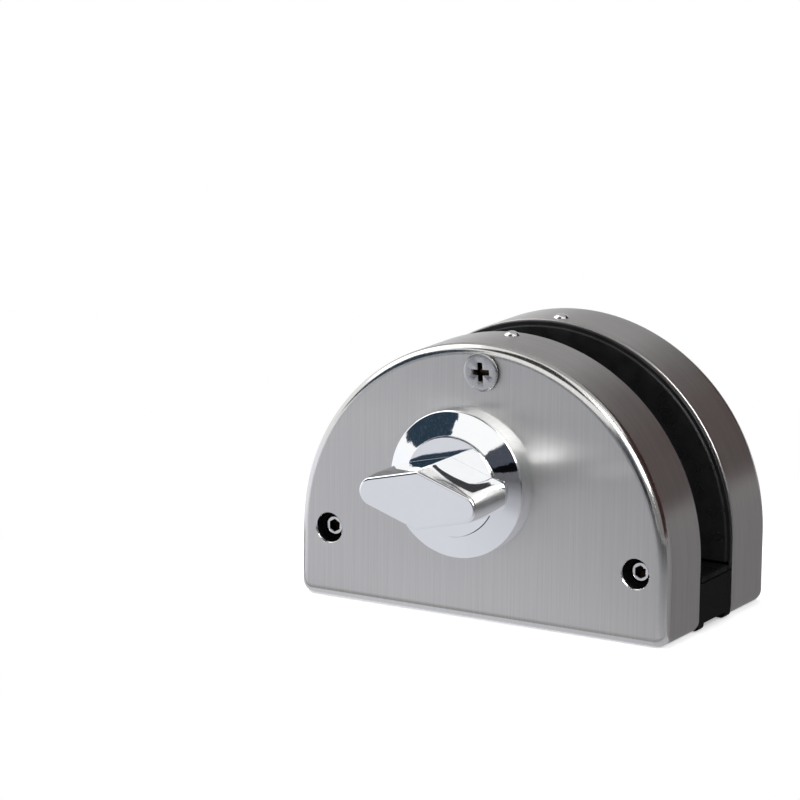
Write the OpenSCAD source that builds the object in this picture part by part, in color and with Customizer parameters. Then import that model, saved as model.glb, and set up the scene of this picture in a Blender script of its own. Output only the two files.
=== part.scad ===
// Half-round clamp lock for the meeting edge of a frameless glass door leaf.
// X runs along the flat closing side, Y from the thumbturn side to the plain side, Z away from
// the closing side. The origin is on the closing side, midway along it, on the glass mid-plane.
// Each half is drawn flat: X and Y lie in the cover face, and the height is the distance from
// the glass mid-plane. The half is then turned upright, and the plain half is its mirror image.

/* [Outline] */
// Width of the lock along its flat closing side
body_w = 90; // [84:1:110]
// Height of the straight sides below the half-round top
side_h = 15.8; // [15.8:0.1:22]
// Depth of each cover, from its face to its open edge
cover_depth = 16.5; // [16.2:0.1:20]
// Radius of the two lower corners of the outline
corner_r = 2.9; // [2.9:0.1:4]

/* [Covers] */
// Thickness of the stainless cover sheet
sheet_t = 1.2; // [0.8:0.1:1.5]
// Outer radius of the bend between the cover face and its rim
edge_r = 2.4; // [1.8:0.1:2.5]
// Clearance between a cover and the chassis inside it
cover_fit = 0.2; // [0.1:0.05:0.3]

/* [Glass slot] */
// Distance between the open edges of the two covers
cover_gap = 16; // [15:0.5:20]
// Clear width between the two rubber pads
slot_w = 13.5; // [12.5:0.1:14]
// Thickness of each rubber pad
pad_t = 3.25; // [2.8:0.05:3.5]
// Thickness of the lip of a pad that lies against the cover edge
pad_lip_t = 2; // [1.8:0.1:2.2]
// Step from the face of a pad back to the rim that covers the open edge of a cover
pad_rim_step = 0.45; // [0.3:0.05:0.6]
// Width of cover sheet that stays bare beside the pad rims and the spine
edge_show = 0.35; // [0.2:0.05:0.6]
// Thickness of each steel clamp plate behind a pad
clamp_plate_t = 2; // [1.5:0.1:2.5]
// Height of the seat for the glass edge above the closing side
seat_h = 12; // [11:0.1:12.4]
// Thickness of the rubber cushion under the glass edge
cushion_t = 1.5; // [1:0.1:2]

/* [Chassis] */
// Thickness of the chassis rim wall
rim_t = 1.8; // [1.5:0.1:2.2]
// Thickness of the chassis stiffening ribs
rib_t = 1.6; // [1.2:0.1:2]
// Free space between the clamp plate and what lies in front of it
clamp_travel = 0.5; // [0.3:0.1:0.8]

/* [Fasteners] */
// Distance of the clamp screws from the sides of the lock
clamp_screw_inset = 7.4; // [7.2:0.1:9]
// Height of the clamp screws above the closing side
clamp_screw_h = 15.7; // [15.7:0.1:20]
// Thread radius of the clamp screws
clamp_screw_r = 2.5; // [2:0.1:2.6]
// Length of the clamp screws
clamp_screw_l = 10; // [8:0.5:10]
// Width across flats of the hex sockets in the clamp screws
hex_w = 2.5; // [2:0.1:3]
// Radius of the access holes for the clamp screws
access_r = 3.25; // [3:0.05:3.5]
// Distance of the cover screws from the top of the lock
cover_screw_inset = 5.8; // [5.6:0.1:6]
// Thread radius of the cover screws
cover_screw_r = 2; // [1.5:0.1:2.1]
// Head radius of the countersunk cover screws
cover_head_r = 4.2; // [3.8:0.1:4.4]
// How far the head of a cover screw stands out of the cover face
cover_head_proud = 0.8; // [0.4:0.1:1]
// Length of the cover screws, head included
cover_screw_l = 12; // [10:0.5:12]
// Head radius of the rim studs at the top of each cover
stud_head_r = 1.7; // [1.4:0.1:2]
// Shank radius of the rim studs
stud_shank_r = 1; // [0.8:0.1:1.2]
// Distance of the rim studs from the open edge of the cover
stud_inset = 3.3; // [3.2:0.1:4]
// Height of the spine screws above the closing side
spine_screw_h = 6.2; // [6:0.1:6.2]
// Distance of the spine screws from the middle of the lock
spine_screw_x = 27; // [26:0.5:30]
// Length of the spine screws, head included
spine_screw_l = 20; // [18:0.5:20]

/* [Thumbturn] */
// Distance of the thumbturn axis from the middle of the lock, towards the left
axis_offset = 3.3; // [0:0.1:4]
// Height of the thumbturn axis above the closing side
axis_h = 30.8; // [30:0.1:32]
// How far the thumbturn is turned from its open stop
rest_turn = 2.3; // [0:0.1:4]
// Length of the thumbturn blade
blade_l = 28.6; // [24:0.1:32]
// Width of the thumbturn blade at its middle
blade_w = 13; // [11:0.1:15]
// Radius of the ends of the blade
blade_end_r = 3.3; // [2.5:0.1:3.6]
// Radius of the blade's middle ridges
blade_ridge_r = 2.2; // [1.2:0.1:2.4]
// Distance of the flat blade front from the cover face
blade_front = 21.9; // [20:0.1:26]
// Distance of the back of the blade ends from the cover face
blade_back = 7.7; // [7.6:0.1:9]
// Radius of the back corners of the blade
blade_back_r = 2.5; // [1.5:0.1:4]
// Bevel round the blade front
blade_bevel = 0.6; // [0.3:0.1:0.8]
// Radius of the round base of the thumbturn
knob_base_r = 10.8; // [9.5:0.1:11.5]
// Distance of the front of the round base from the cover face
knob_base_front = 7.7; // [7.2:0.1:8.2]
// Radius of the turned shank below the round base
shank_r = 5; // [4.6:0.1:5.2]
// Angle the thumbturn turns through, from open to locked
turn_angle = 90; // [60:5:90]

/* [Rosette] */
// Outer radius of the rosette round the thumbturn
rosette_r = 16.2; // [15:0.1:18]
// Height of the straight outer wall of the rosette
rosette_wall = 4.8; // [4.2:0.1:5.2]
// Height of the rosette at its inner edge
rosette_h = 7.1; // [6.6:0.1:7.4]
// Thickness of the rosette floor under the thumbturn
rosette_floor = 3; // [2.8:0.1:3.1]
// Clearance all round the base of the thumbturn
knob_gap = 0.35; // [0.3:0.05:0.5]

/* [Drive] */
// Tooth module of the pinion and the rack
gear_module = 1; // [0.8:0.05:1]
// Number of teeth on the drive pinion
pinion_teeth = 14; // [12:1:14]
// Pressure angle of the teeth
pressure_angle = 25; // [24:0.5:26]
// Play between the flanks of the teeth
backlash = 0.16; // [0.1:0.02:0.24]
// Thickness of the drive pinion
pinion_t = 6.6; // [5:0.1:6.8]
// Width across flats of the square spindle
spindle_w = 5; // [4.6:0.1:5.2]
// Clearance between the spindle and the squares it sits in
spindle_fit = 0.05; // [0.02:0.01:0.1]
// Radius of the round rear journal of the spindle
journal_r = 2.4; // [2:0.05:2.45]
// Running clearance of the shank and the journal, on the radius
running_fit = 0.05; // [0.02:0.01:0.08]

/* [Deadbolt] */
// Width of the deadbolt head
bolt_w = 24; // [23:0.5:25]
// Thickness of the deadbolt
bolt_t = 7; // [5:0.1:7.2]
// How far the retracted bolt lies inside the closing side
bolt_recess = 0.8; // [0.5:0.1:1.5]
// Height of the shoulder of the bolt head above the closing side
bolt_shoulder_h = 20.5; // [19:0.1:21]
// Wall of the bolt arm above its last rack tooth
bolt_end_wall = 1.2; // [1:0.1:1.4]
// Play of the bolt between its guides
bolt_play = 0.2; // [0.15:0.05:0.3]
// Radius of the pin that guides and stops the bolt
stop_pin_r = 1.3; // [1:0.05:1.4]
// Play of the stop pin in the slot of the bolt
stop_play = 0.3; // [0.25:0.05:0.4]
// Height of the stop pin above the thumbturn axis
stop_pin_rise = 2.2; // [1.2:0.1:2.6]

/* [Mechanism plate] */
// Thickness of the plate that closes the mechanism
plate_t = 1.2; // [1:0.1:1.5]
// Width of the mechanism plate
plate_w = 41; // [40.5:0.5:43]
// Height of the lower edge of the mechanism plate
plate_low_h = 12; // [11.8:0.1:12.4]
// How far the mechanism plate reaches past the top of the bolt arm
plate_margin = 0.5; // [0.3:0.1:0.7]
// Thread radius of the mechanism plate screws
plate_screw_r = 1.5; // [1.2:0.1:1.6]
// Length of the mechanism plate screws
plate_screw_l = 6; // [5:0.5:8]

/* [Hidden] */
$fn = 96;

// Length by which a cutting shape passes clear through what it cuts
cut = 1;
// Clearance on the radius between a screw or pin and its hole
thread_fit = 0.05;
// Side clearance of the pads, plates and spine inside the chassis rim
rim_play = 0.2;
// Gap between the pads and plates and what lies below them
spine_gap = 0.3;

// Heights above the glass mid-plane, from the pads out to the cover face
mouth_h = cover_gap / 2;
face_h = mouth_h + cover_depth;
inner_h = face_h - sheet_t;
pad_face_h = slot_w / 2;
pad_lip_h = pad_face_h + pad_lip_t;
pad_back_h = pad_face_h + pad_t;
rim_back_h = pad_lip_h + spine_gap;
clamp_top_h = pad_back_h + clamp_plate_t;
clamp_screw_top_h = clamp_top_h + clamp_screw_l;
plate_back_h = clamp_top_h + clamp_travel;
plate_top_h = plate_back_h + plate_t;
bolt_low_h = plate_top_h + bolt_play;
bolt_top_h = bolt_low_h + bolt_t;
bolt_mid_h = (bolt_low_h + bolt_top_h) / 2;
floor_h = bolt_top_h + bolt_play;
boss_top_h = floor_h + rib_t / 2;
stud_h = mouth_h + stud_inset;

// Insets from the outline of the cover
chassis_inset = sheet_t + cover_fit;
rim_inset = chassis_inset + rim_t;
inside_inset = rim_inset + rim_play;

// Places in the cover face
arc_r = body_w / 2;
top_h = side_h + arc_r;
clamp_screw_x = arc_r - clamp_screw_inset;
cover_screw_h = top_h - cover_screw_inset;
axis_x = -axis_offset;

// Spine between the halves, with a lip beside each cover
spine_top_h = seat_h - cushion_t;
pad_low_h = seat_h + spine_gap;
spine_lip_w = 2.8;
spine_lip_h = 0.25;
spine_channel_h = 1.6;
spine_corner_r = 1;
lip_gap = 0.1;

// Bosses, heads and holes that follow the screws
clamp_boss_r = access_r + 1.9;
cover_boss_r = cover_screw_r + 1.6;
spine_screw_r = 2;
spine_head_r = 3.8;
spine_boss_r = spine_head_r + 0.4;
plate_boss_r = plate_screw_r + 1.1;
plate_head_r = plate_screw_r + 1;
access_bevel = 0.3;
screw_edge = 0.2;
cover_hole_r = cover_head_r - cover_head_proud + screw_edge + thread_fit;

// Bearing of the thumbturn: boss, bush, washer
hub_boss_r = 8;
hub_boss_h = face_h + rosette_floor - 1;
hub_fit = 0.3;
bush_wall = 1.4;
bush_r = shank_r + running_fit + bush_wall;
washer_t = 0.3;
washer_play = 0.1;
knob_back_h = face_h + rosette_floor + washer_t + washer_play;

// Tooth sizes, measured from the pitch circle or the pitch line
pitch_r = gear_module * pinion_teeth / 2;
pitch = PI * gear_module;
tip_add = gear_module;
root_ded = 1.25 * gear_module;
base_r = pitch_r * cos(pressure_angle);
half_tooth = pitch / 4 - backlash / 4;
half_tip = half_tooth - tip_add * tan(pressure_angle);
half_root = half_tooth + root_ded * tan(pressure_angle);
throw = pitch_r * turn_angle * PI / 180;
rest_travel = pitch_r * rest_turn * PI / 180;
rack_x = axis_x + pitch_r;
rack_root_x = rack_x + root_ded;
rack_first = -2;
rack_last = ceil((throw + 2 * gear_module) / pitch) - 1;
rack_top_h = axis_h + (rack_last + 0.5) * pitch + half_root;
pinion_low_h = bolt_mid_h - pinion_t / 2;
pinion_top_h = bolt_mid_h + pinion_t / 2;
pinion_hub_r = 4.6;

// Spindle, its clip and the window that they reach into
drive_gap = 0.1;
square_low_h = plate_top_h + drive_gap;
spindle_top_h = face_h + blade_back + 6;
clip_t = 0.8;
clip_r = 4;
clip_top_h = plate_back_h - drive_gap;
clip_low_h = clip_top_h - clip_t;
groove_r = journal_r - 0.5;
spindle_low_h = clip_low_h - 0.7;
window_r = clip_r + 2.5;

// Deadbolt slot and guides
bolt_bevel = 0.8;
stop_pin_h = axis_h + stop_pin_rise;
bolt_arm_h = rack_top_h + bolt_end_wall;
plate_high_h = bolt_arm_h + plate_margin;
arm_x = bolt_w / 2;
slot_x = (rack_root_x + arm_x) / 2;
guide_t = 2.2;
guide_x = bolt_w / 2 + bolt_play;
plate_screw_x = plate_w / 2 - 3.2;
plate_screw_low = plate_low_h + 3;
plate_screw_high = plate_high_h - 3;
pin_seat = 1.2;

// Blade flank: the line that touches an end circle and a ridge circle from outside
end_cx = blade_l / 2 - blade_end_r;
ridge_cy = blade_w / 2 - blade_ridge_r;
flank_angle = atan2(ridge_cy, end_cx)
    - asin((blade_end_r - blade_ridge_r) / norm([end_cx, ridge_cy]));

// Colours
steel = [0.70, 0.70, 0.71];
chrome = [0.86, 0.87, 0.90];
zinc = [0.72, 0.72, 0.70];
black_cast = [0.13, 0.13, 0.14];
rubber = [0.07, 0.07, 0.07];
brass = [0.78, 0.62, 0.32];

// Placing

// Stands a half that was drawn flat upright, with its face towards the front
module front_half() rotate([90, 0, 0]) children();

// The same half seen in the glass mid-plane
module rear_half() mirror([0, 1, 0]) front_half() children();

// Repeats a shape at plus and minus x
module both_sides(x) for (side = [-1, 1]) translate([side * x, 0, 0]) children();

// Moves a shape to the thumbturn axis
module on_axis() translate([axis_x, axis_h, 0]) children();

// Moves a shape that turns with the thumbturn to the axis, at its resting turn
module turning() on_axis() rotate([0, 0, -rest_turn]) children();

// Half-round outline

// Section of a wall from the middle out to r, between two heights, with its upper edge rounded
module wall_section(r, low, high, edge) {
    translate([0, low]) square([r, high - edge - low]);
    translate([0, low]) square([r - edge, high - low]);
    translate([r - edge, high - edge]) intersection() {
        circle(r = edge);
        square([2 * edge, 2 * edge]);
    }
}

// Solid with the outline of the lock taken in by inset, its upper edge rounded
module rounded_block(inset, low, high, edge) {
    r = arc_r - inset;
    c = corner_r - inset;
    translate([0, side_h, 0]) {
        rotate_extrude(angle = 180) wall_section(r, low, high, edge);
        rotate([90, 0, 0]) linear_extrude(side_h - inset - c) {
            wall_section(r, low, high, edge);
            mirror([1, 0]) wall_section(r, low, high, edge);
        }
    }
    translate([r - c, inset + c, 0]) {
        rotate([90, 0, -90]) linear_extrude(2 * (r - c)) wall_section(c, low, high, edge);
        rotate([0, 0, -90]) rotate_extrude(angle = 90) wall_section(c, low, high, edge);
    }
    translate([c - r, inset + c, 0]) rotate([0, 0, 180])
        rotate_extrude(angle = 90) wall_section(c, low, high, edge);
}

// Outline of the lock taken in by inset, from a given height up
module outline(inset, from = 0) {
    r = arc_r - inset;
    low = max(inset, from);
    intersection() {
        translate([0, side_h]) circle(r = r);
        translate([-r, side_h - cut]) square([2 * r, r + 2 * cut]);
    }
    translate([-r, low]) square([2 * r, side_h - low]);
}

// Slab with that outline between two heights above the glass mid-plane
module slab(inset, low, high, from = 0) {
    translate([0, 0, low]) linear_extrude(high - low) outline(inset, from);
}

// Upright ring or disc round the origin of the cover face
module ring(outer_r, inner_r, low, high) {
    translate([0, 0, low]) difference() {
        cylinder(r = outer_r, h = high - low);
        translate([0, 0, -cut]) cylinder(r = inner_r, h = high - low + 2 * cut);
    }
}

// Fasteners, drawn pointing down from a head whose top is at height zero

// Countersunk screw with a cross recess
module cross_screw(head_r, screw_r, length) {
    head_h = head_r - screw_r;
    difference() {
        union() {
            translate([0, 0, -screw_edge]) cylinder(r = head_r, h = screw_edge);
            translate([0, 0, -screw_edge - head_h])
                cylinder(r1 = screw_r, r2 = head_r, h = head_h);
            translate([0, 0, screw_edge - length])
                cylinder(r = screw_r, h = length - screw_edge - head_h);
            translate([0, 0, -length])
                cylinder(r1 = screw_r - screw_edge, r2 = screw_r, h = screw_edge);
        }
        cross_recess(head_r * 0.5, head_r * 0.24, screw_r * 0.9);
    }
}

// Two crossed wings whose ends slope in towards the bottom
module cross_recess(wing_l, wing_w, depth) {
    for (turn = [0, 90])
        rotate([90, 0, turn]) translate([0, 0, -wing_w / 2]) linear_extrude(wing_w)
            polygon([[-wing_l, cut], [wing_l, cut], [wing_l, 0], [wing_w, -depth],
                [-wing_w, -depth], [-wing_l, 0]]);
}

// Hex socket set screw with bevelled ends
module set_screw(r, length) {
    bevel = 0.55;
    socket_depth = 2.6;
    difference() {
        union() {
            translate([0, 0, -bevel]) cylinder(r1 = r, r2 = r - bevel, h = bevel);
            translate([0, 0, bevel - length]) cylinder(r = r, h = length - 2 * bevel);
            translate([0, 0, -length]) cylinder(r1 = r - bevel, r2 = r, h = bevel);
        }
        translate([0, 0, -socket_depth])
            cylinder(r = hex_w / 2 / cos(30), h = socket_depth + cut, $fn = 6);
    }
}

// Conical seat below height zero for a head that is r wide at its upper edge
module countersink(r, depth) {
    translate([0, 0, -depth]) cylinder(r1 = r - depth, r2 = r, h = depth);
    cylinder(r = r, h = cut);
}

// Covers

// Pressed shell with the holes that both covers have
module cover_shell() {
    difference() {
        rounded_block(0, mouth_h, face_h, edge_r);
        rounded_block(sheet_t, mouth_h - cut, inner_h, edge_r - sheet_t);
        both_sides(clamp_screw_x) translate([0, clamp_screw_h, 0]) {
            translate([0, 0, inner_h - cut]) cylinder(r = access_r, h = sheet_t + 2 * cut);
            translate([0, 0, face_h - access_bevel])
                cylinder(r1 = access_r, r2 = access_r + access_bevel, h = access_bevel);
        }
        cover_screw_hole(sheet_t + cut);
        rim_stud_hole(sheet_t);
    }
}

// Bore for the cover screw, with its conical seat, down to a depth below the cover face
module cover_screw_hole(depth) {
    translate([0, cover_screw_h, face_h]) {
        countersink(cover_hole_r, cover_hole_r - cover_screw_r);
        translate([0, 0, -depth]) cylinder(r = cover_screw_r + thread_fit, h = depth);
    }
}

// Hole for the rim stud through a wall that ends depth below the top of the cover
module rim_stud_hole(depth) {
    translate([0, top_h - depth - cut, stud_h]) rotate([-90, 0, 0])
        cylinder(r = stud_shank_r + thread_fit, h = depth + 2 * cut);
}

module front_cover() {
    color(steel) front_half() difference() {
        cover_shell();
        on_axis() translate([0, 0, inner_h - cut])
            cylinder(r = hub_boss_r + hub_fit, h = sheet_t + 2 * cut);
        translate([-guide_x - bolt_play, -cut, bolt_low_h - 2 * bolt_play])
            cube([2 * (guide_x + bolt_play), sheet_t + 2 * cut, bolt_t + 4 * bolt_play]);
    }
}

module rear_cover() {
    color(steel) rear_half() cover_shell();
}

// Chassis

// Cast tray with the rim, ribs and screw bosses that both halves have
module chassis_body(rib_x) {
    depth = inner_h - plate_back_h;
    boss_h = boss_top_h - plate_back_h;
    difference() {
        union() {
            difference() {
                rounded_block(chassis_inset, rim_back_h, inner_h, edge_r - sheet_t);
                slab(rim_inset, rim_back_h - cut, floor_h);
            }
            translate([0, 0, plate_back_h]) {
                both_sides(clamp_screw_x) translate([0, clamp_screw_h, 0])
                    cylinder(r = clamp_boss_r, h = boss_h);
                translate([0, cover_screw_h, 0]) cylinder(r = cover_boss_r, h = boss_h);
                both_sides(spine_screw_x) translate([0, spine_screw_h, 0])
                    cylinder(r = spine_boss_r, h = boss_h);
            }
            intersection() {
                both_sides(rib_x) translate([-rib_t / 2, 0, plate_back_h])
                    cube([rib_t, top_h, depth]);
                slab(chassis_inset + rim_t / 2, plate_back_h, boss_top_h);
            }
        }
        both_sides(clamp_screw_x) translate([0, clamp_screw_h, 0]) {
            translate([0, 0, plate_back_h - cut])
                cylinder(r = clamp_screw_r + thread_fit, h = depth + 2 * cut);
            translate([0, 0, clamp_screw_top_h]) cylinder(r = access_r, h = depth);
        }
        cover_screw_hole(face_h - plate_back_h + cut);
        both_sides(spine_screw_x) translate([0, spine_screw_h, 0]) {
            translate([0, 0, plate_back_h - cut])
                cylinder(r = spine_screw_r + thread_fit, h = depth + 2 * cut);
            translate([0, 0, inner_h - screw_edge])
                countersink(spine_head_r + thread_fit, spine_head_r - spine_screw_r);
        }
        rim_stud_hole(rim_inset);
    }
}

// Repeats a shape at the four screws of the mechanism plate
module plate_screw_places() {
    for (y = [plate_screw_low, plate_screw_high])
        both_sides(plate_screw_x) translate([0, y, 0]) children();
}

// Guide rails of the deadbolt and the posts that carry the mechanism plate
module bolt_guides() {
    depth = boss_top_h - plate_top_h;
    low = chassis_inset + rim_t / 2;
    translate([0, 0, plate_top_h]) {
        translate([-guide_x - guide_t, low, 0])
            cube([guide_t, bolt_shoulder_h - low, depth]);
        translate([guide_x, low, 0]) cube([guide_t, bolt_arm_h - low, depth]);
        plate_screw_places() cylinder(r = plate_boss_r, h = depth);
    }
}

module front_chassis() {
    color(black_cast) front_half() difference() {
        union() {
            chassis_body((clamp_screw_x + plate_w / 2) / 2);
            bolt_guides();
            on_axis() translate([0, 0, floor_h]) cylinder(r = hub_boss_r, h = hub_boss_h - floor_h);
        }
        on_axis() translate([0, 0, floor_h - cut]) cylinder(r = bush_r, h = cover_depth);
        plate_screw_places() translate([0, 0, plate_back_h - cut])
            cylinder(r = plate_screw_r + thread_fit, h = plate_screw_l + 1.5 * cut);
        translate([slot_x, stop_pin_h, floor_h - cut])
            cylinder(r = stop_pin_r + thread_fit, h = pin_seat + cut);
        translate([-guide_x, 0, bolt_low_h - bolt_play])
            cube([2 * guide_x, rim_inset + cut, floor_h - bolt_low_h + bolt_play]);
    }
}

module rear_chassis() {
    color(black_cast) rear_half() chassis_body(clamp_screw_x / 3);
}

// Glass clamping

// Rubber pad with a lip that fills the mouth of the cover and a rim over the cover's edge
module pad() {
    slab(edge_show, pad_face_h + pad_rim_step, mouth_h - lip_gap, pad_low_h);
    slab(chassis_inset, pad_face_h, pad_lip_h, pad_low_h);
    slab(inside_inset, pad_face_h, pad_back_h, pad_low_h);
}

module front_pad() {
    color(rubber) front_half() pad();
}

module rear_pad() {
    color(rubber) rear_half() pad();
}

// Steel plate that the clamp screws press against the pad
module clamp_plate() {
    difference() {
        slab(inside_inset, pad_back_h, clamp_top_h, pad_low_h);
        on_axis() translate([0, 0, pad_back_h - cut])
            cylinder(r = window_r, h = clamp_plate_t + 2 * cut);
    }
}

module front_clamp_plate() {
    color(zinc) front_half() clamp_plate();
}

module rear_clamp_plate() {
    color(zinc) rear_half() clamp_plate();
}

module clamp_screws() {
    both_sides(clamp_screw_x) translate([0, clamp_screw_h, clamp_screw_top_h])
        set_screw(clamp_screw_r, clamp_screw_l);
}

module front_clamp_screws() {
    color(zinc) front_half() clamp_screws();
}

module rear_clamp_screws() {
    color(zinc) rear_half() clamp_screws();
}

// Fasteners of the covers and the spine

module cover_screw() {
    translate([0, cover_screw_h, face_h + cover_head_proud])
        cross_screw(cover_head_r, cover_screw_r, cover_screw_l);
}

module front_cover_screw() {
    color(zinc) front_half() cover_screw();
}

module rear_cover_screw() {
    color(zinc) rear_half() cover_screw();
}

// Stud with a low domed head that pins the cover rim to the chassis
module rim_stud() {
    head_h = 0.9;
    dome_r = (stud_head_r * stud_head_r + head_h * head_h) / (2 * head_h);
    translate([0, top_h, stud_h]) rotate([-90, 0, 0]) {
        translate([0, 0, -rim_inset]) cylinder(r = stud_shank_r, h = rim_inset);
        intersection() {
            translate([0, 0, head_h - dome_r]) sphere(r = dome_r);
            cylinder(r = dome_r, h = head_h);
        }
    }
}

module front_rim_stud() {
    color(zinc) front_half() rim_stud();
}

module rear_rim_stud() {
    color(zinc) rear_half() rim_stud();
}

module spine_screws() {
    both_sides(spine_screw_x) translate([0, spine_screw_h, inner_h])
        cross_screw(spine_head_r, spine_screw_r, spine_screw_l);
}

module front_spine_screws() {
    color(zinc) front_half() spine_screws();
}

module rear_spine_screws() {
    color(zinc) rear_half() spine_screws();
}

// Spine that joins the halves at the closing side, open channel between its two lips
module spine() {
    lip_out = mouth_h - lip_gap;
    lip_in = lip_out - spine_lip_w;
    wide = arc_r - edge_show;
    inside = arc_r - chassis_inset;
    narrow = arc_r - inside_inset;
    tongue_low = rim_inset + rim_play;
    color(black_cast) difference() {
        for (side = [0, 1]) mirror([0, side, 0]) front_half() {
            linear_extrude(lip_out) spine_outline(wide);
            translate([-inside, corner_r, lip_out - cut])
                cube([2 * inside, spine_top_h - corner_r, pad_lip_h - lip_out + cut]);
            translate([-narrow, tongue_low, pad_lip_h - cut])
                cube([2 * narrow, spine_top_h - tongue_low, plate_back_h - pad_lip_h + cut]);
        }
        translate([-wide - cut, -lip_in, -cut])
            cube([2 * (wide + cut), 2 * lip_in, spine_channel_h + cut]);
        for (side = [0, 1]) mirror([0, side, 0]) front_half()
            both_sides(spine_screw_x) translate([0, spine_screw_h, inner_h - spine_screw_l - cut])
                cylinder(r = spine_screw_r + thread_fit, h = spine_screw_l);
    }
}

// Spine as seen from the front, with round lower corners
module spine_outline(wide) {
    translate([-wide, spine_lip_h + spine_corner_r])
        square([2 * wide, spine_top_h - spine_lip_h - spine_corner_r]);
    translate([spine_corner_r - wide, spine_lip_h])
        square([2 * (wide - spine_corner_r), spine_top_h - spine_lip_h]);
    both_sides(wide - spine_corner_r)
        translate([0, spine_lip_h + spine_corner_r]) circle(r = spine_corner_r);
}

module glass_edge_cushion() {
    half_w = pad_face_h - rim_play;
    half_l = arc_r - edge_show - rim_play;
    color(rubber) translate([-half_l, -half_w, spine_top_h])
        cube([2 * half_l, 2 * half_w, cushion_t]);
}

// Mechanism

// Plate that closes the mechanism and carries the rear end of the spindle
module mechanism_plate() {
    corner = 3;
    color(zinc) front_half() difference() {
        translate([0, 0, plate_back_h]) linear_extrude(plate_t) {
            translate([-plate_w / 2 + corner, plate_low_h])
                square([plate_w - 2 * corner, plate_high_h - plate_low_h]);
            translate([-plate_w / 2, plate_low_h + corner])
                square([plate_w, plate_high_h - plate_low_h - 2 * corner]);
            for (x = [corner - plate_w / 2, plate_w / 2 - corner])
                for (y = [plate_low_h + corner, plate_high_h - corner])
                    translate([x, y]) circle(r = corner);
        }
        on_axis() translate([0, 0, plate_back_h - cut])
            cylinder(r = journal_r + running_fit, h = plate_t + 2 * cut);
        translate([slot_x, stop_pin_h, plate_back_h - cut])
            cylinder(r = stop_pin_r + thread_fit, h = plate_t + 2 * cut);
        plate_screw_places() {
            translate([0, 0, plate_back_h - cut])
                cylinder(r = plate_screw_r + thread_fit, h = plate_t + 2 * cut);
            translate([0, 0, plate_back_h + screw_edge]) mirror([0, 0, 1])
                countersink(plate_head_r + thread_fit, plate_head_r - plate_screw_r);
        }
    }
}

module mechanism_plate_screws() {
    color(zinc) front_half() plate_screw_places() translate([0, 0, plate_back_h])
        mirror([0, 0, 1]) cross_screw(plate_head_r, plate_screw_r, plate_screw_l);
}

module stop_pin() {
    color(zinc) front_half() translate([slot_x, stop_pin_h, plate_back_h])
        cylinder(r = stop_pin_r, h = floor_h + pin_seat - plate_back_h);
}

// Domed collar with a cup that takes the round base of the thumbturn
module rosette() {
    cup_r = knob_base_r + knob_gap;
    bevel = 0.3;
    color(chrome) front_half() on_axis() translate([0, 0, face_h]) rotate_extrude()
        polygon([[hub_boss_r + thread_fit, 0], [rosette_r, 0], [rosette_r, rosette_wall - bevel],
            [rosette_r - bevel, rosette_wall], [cup_r + 2 * bevel, rosette_h],
            [cup_r, rosette_h - bevel], [cup_r, rosette_floor],
            [hub_boss_r + thread_fit, rosette_floor]]);
}

// Flanged bearing bush of the shank
module shank_bush() {
    bore_r = shank_r + running_fit;
    flange_low = hub_boss_h;
    color(brass) front_half() on_axis() {
        ring(bush_r - thread_fit, bore_r, floor_h, flange_low);
        ring(hub_boss_r, bore_r, flange_low, face_h + rosette_floor);
    }
}

module friction_washer() {
    low = face_h + rosette_floor;
    color(steel) front_half() on_axis()
        ring(hub_boss_r, shank_r + hub_fit, low, low + washer_t);
}

// Points along a round corner, from one angle to the next
function corner_points(centre, r, from, to, steps) =
    [for (i = [0:steps]) let (a = from + (to - from) * i / steps) centre + r * [cos(a), sin(a)]];

// Blade outline, flat flanks between round ends and round ridges, taken in by inset
function blade_points(inset = 0) =
    let (
        end_r = blade_end_r - inset,
        ridge_r = blade_ridge_r - inset,
        a = 90 - flank_angle,
        b = 90 + flank_angle
    )
    concat(
        corner_points([end_cx, 0], end_r, -a, a, 14),
        corner_points([0, ridge_cy], ridge_r, a, b, 4),
        corner_points([-end_cx, 0], end_r, b, a + 180, 14),
        corner_points([0, -ridge_cy], ridge_r, a + 180, b + 180, 4)
    );

// Blade with round back corners and a bevelled front, measured from the cover face
module blade() {
    reach = blade_l / 2 + thread_fit;
    low = knob_base_front - cut;
    neck = knob_base_r - 1;
    skin = 0.01;
    intersection() {
        hull() {
            translate([0, 0, low]) linear_extrude(blade_front - blade_bevel - low)
                polygon(blade_points());
            translate([0, 0, blade_front - skin]) linear_extrude(skin)
                polygon(blade_points(blade_bevel));
        }
        rotate([90, 0, 0]) translate([0, 0, -blade_w]) linear_extrude(2 * blade_w) {
            translate([-reach, blade_back + blade_back_r])
                square([2 * reach, blade_front - blade_back]);
            translate([blade_back_r - reach, blade_back])
                square([2 * (reach - blade_back_r), blade_front]);
            translate([-neck, low - cut]) square([2 * neck, blade_front]);
            both_sides(reach - blade_back_r)
                translate([0, blade_back + blade_back_r]) circle(r = blade_back_r);
        }
    }
}

// Turned base and shank with the blade on top, in one casting
module thumbturn() {
    bevel = 0.3;
    base_h = face_h + knob_base_front;
    color(chrome) front_half() turning() difference() {
        union() {
            translate([0, 0, pinion_top_h + drive_gap])
                cylinder(r = shank_r, h = knob_back_h - pinion_top_h);
            translate([0, 0, knob_back_h]) cylinder(r = knob_base_r, h = base_h - knob_back_h - bevel);
            translate([0, 0, base_h - bevel])
                cylinder(r1 = knob_base_r, r2 = knob_base_r - bevel, h = bevel);
            translate([0, 0, face_h]) blade();
        }
        translate([0, 0, spindle_top_h / 2])
            cube([spindle_w + 2 * spindle_fit, spindle_w + 2 * spindle_fit, spindle_top_h + cut],
                center = true);
    }
}

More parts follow.
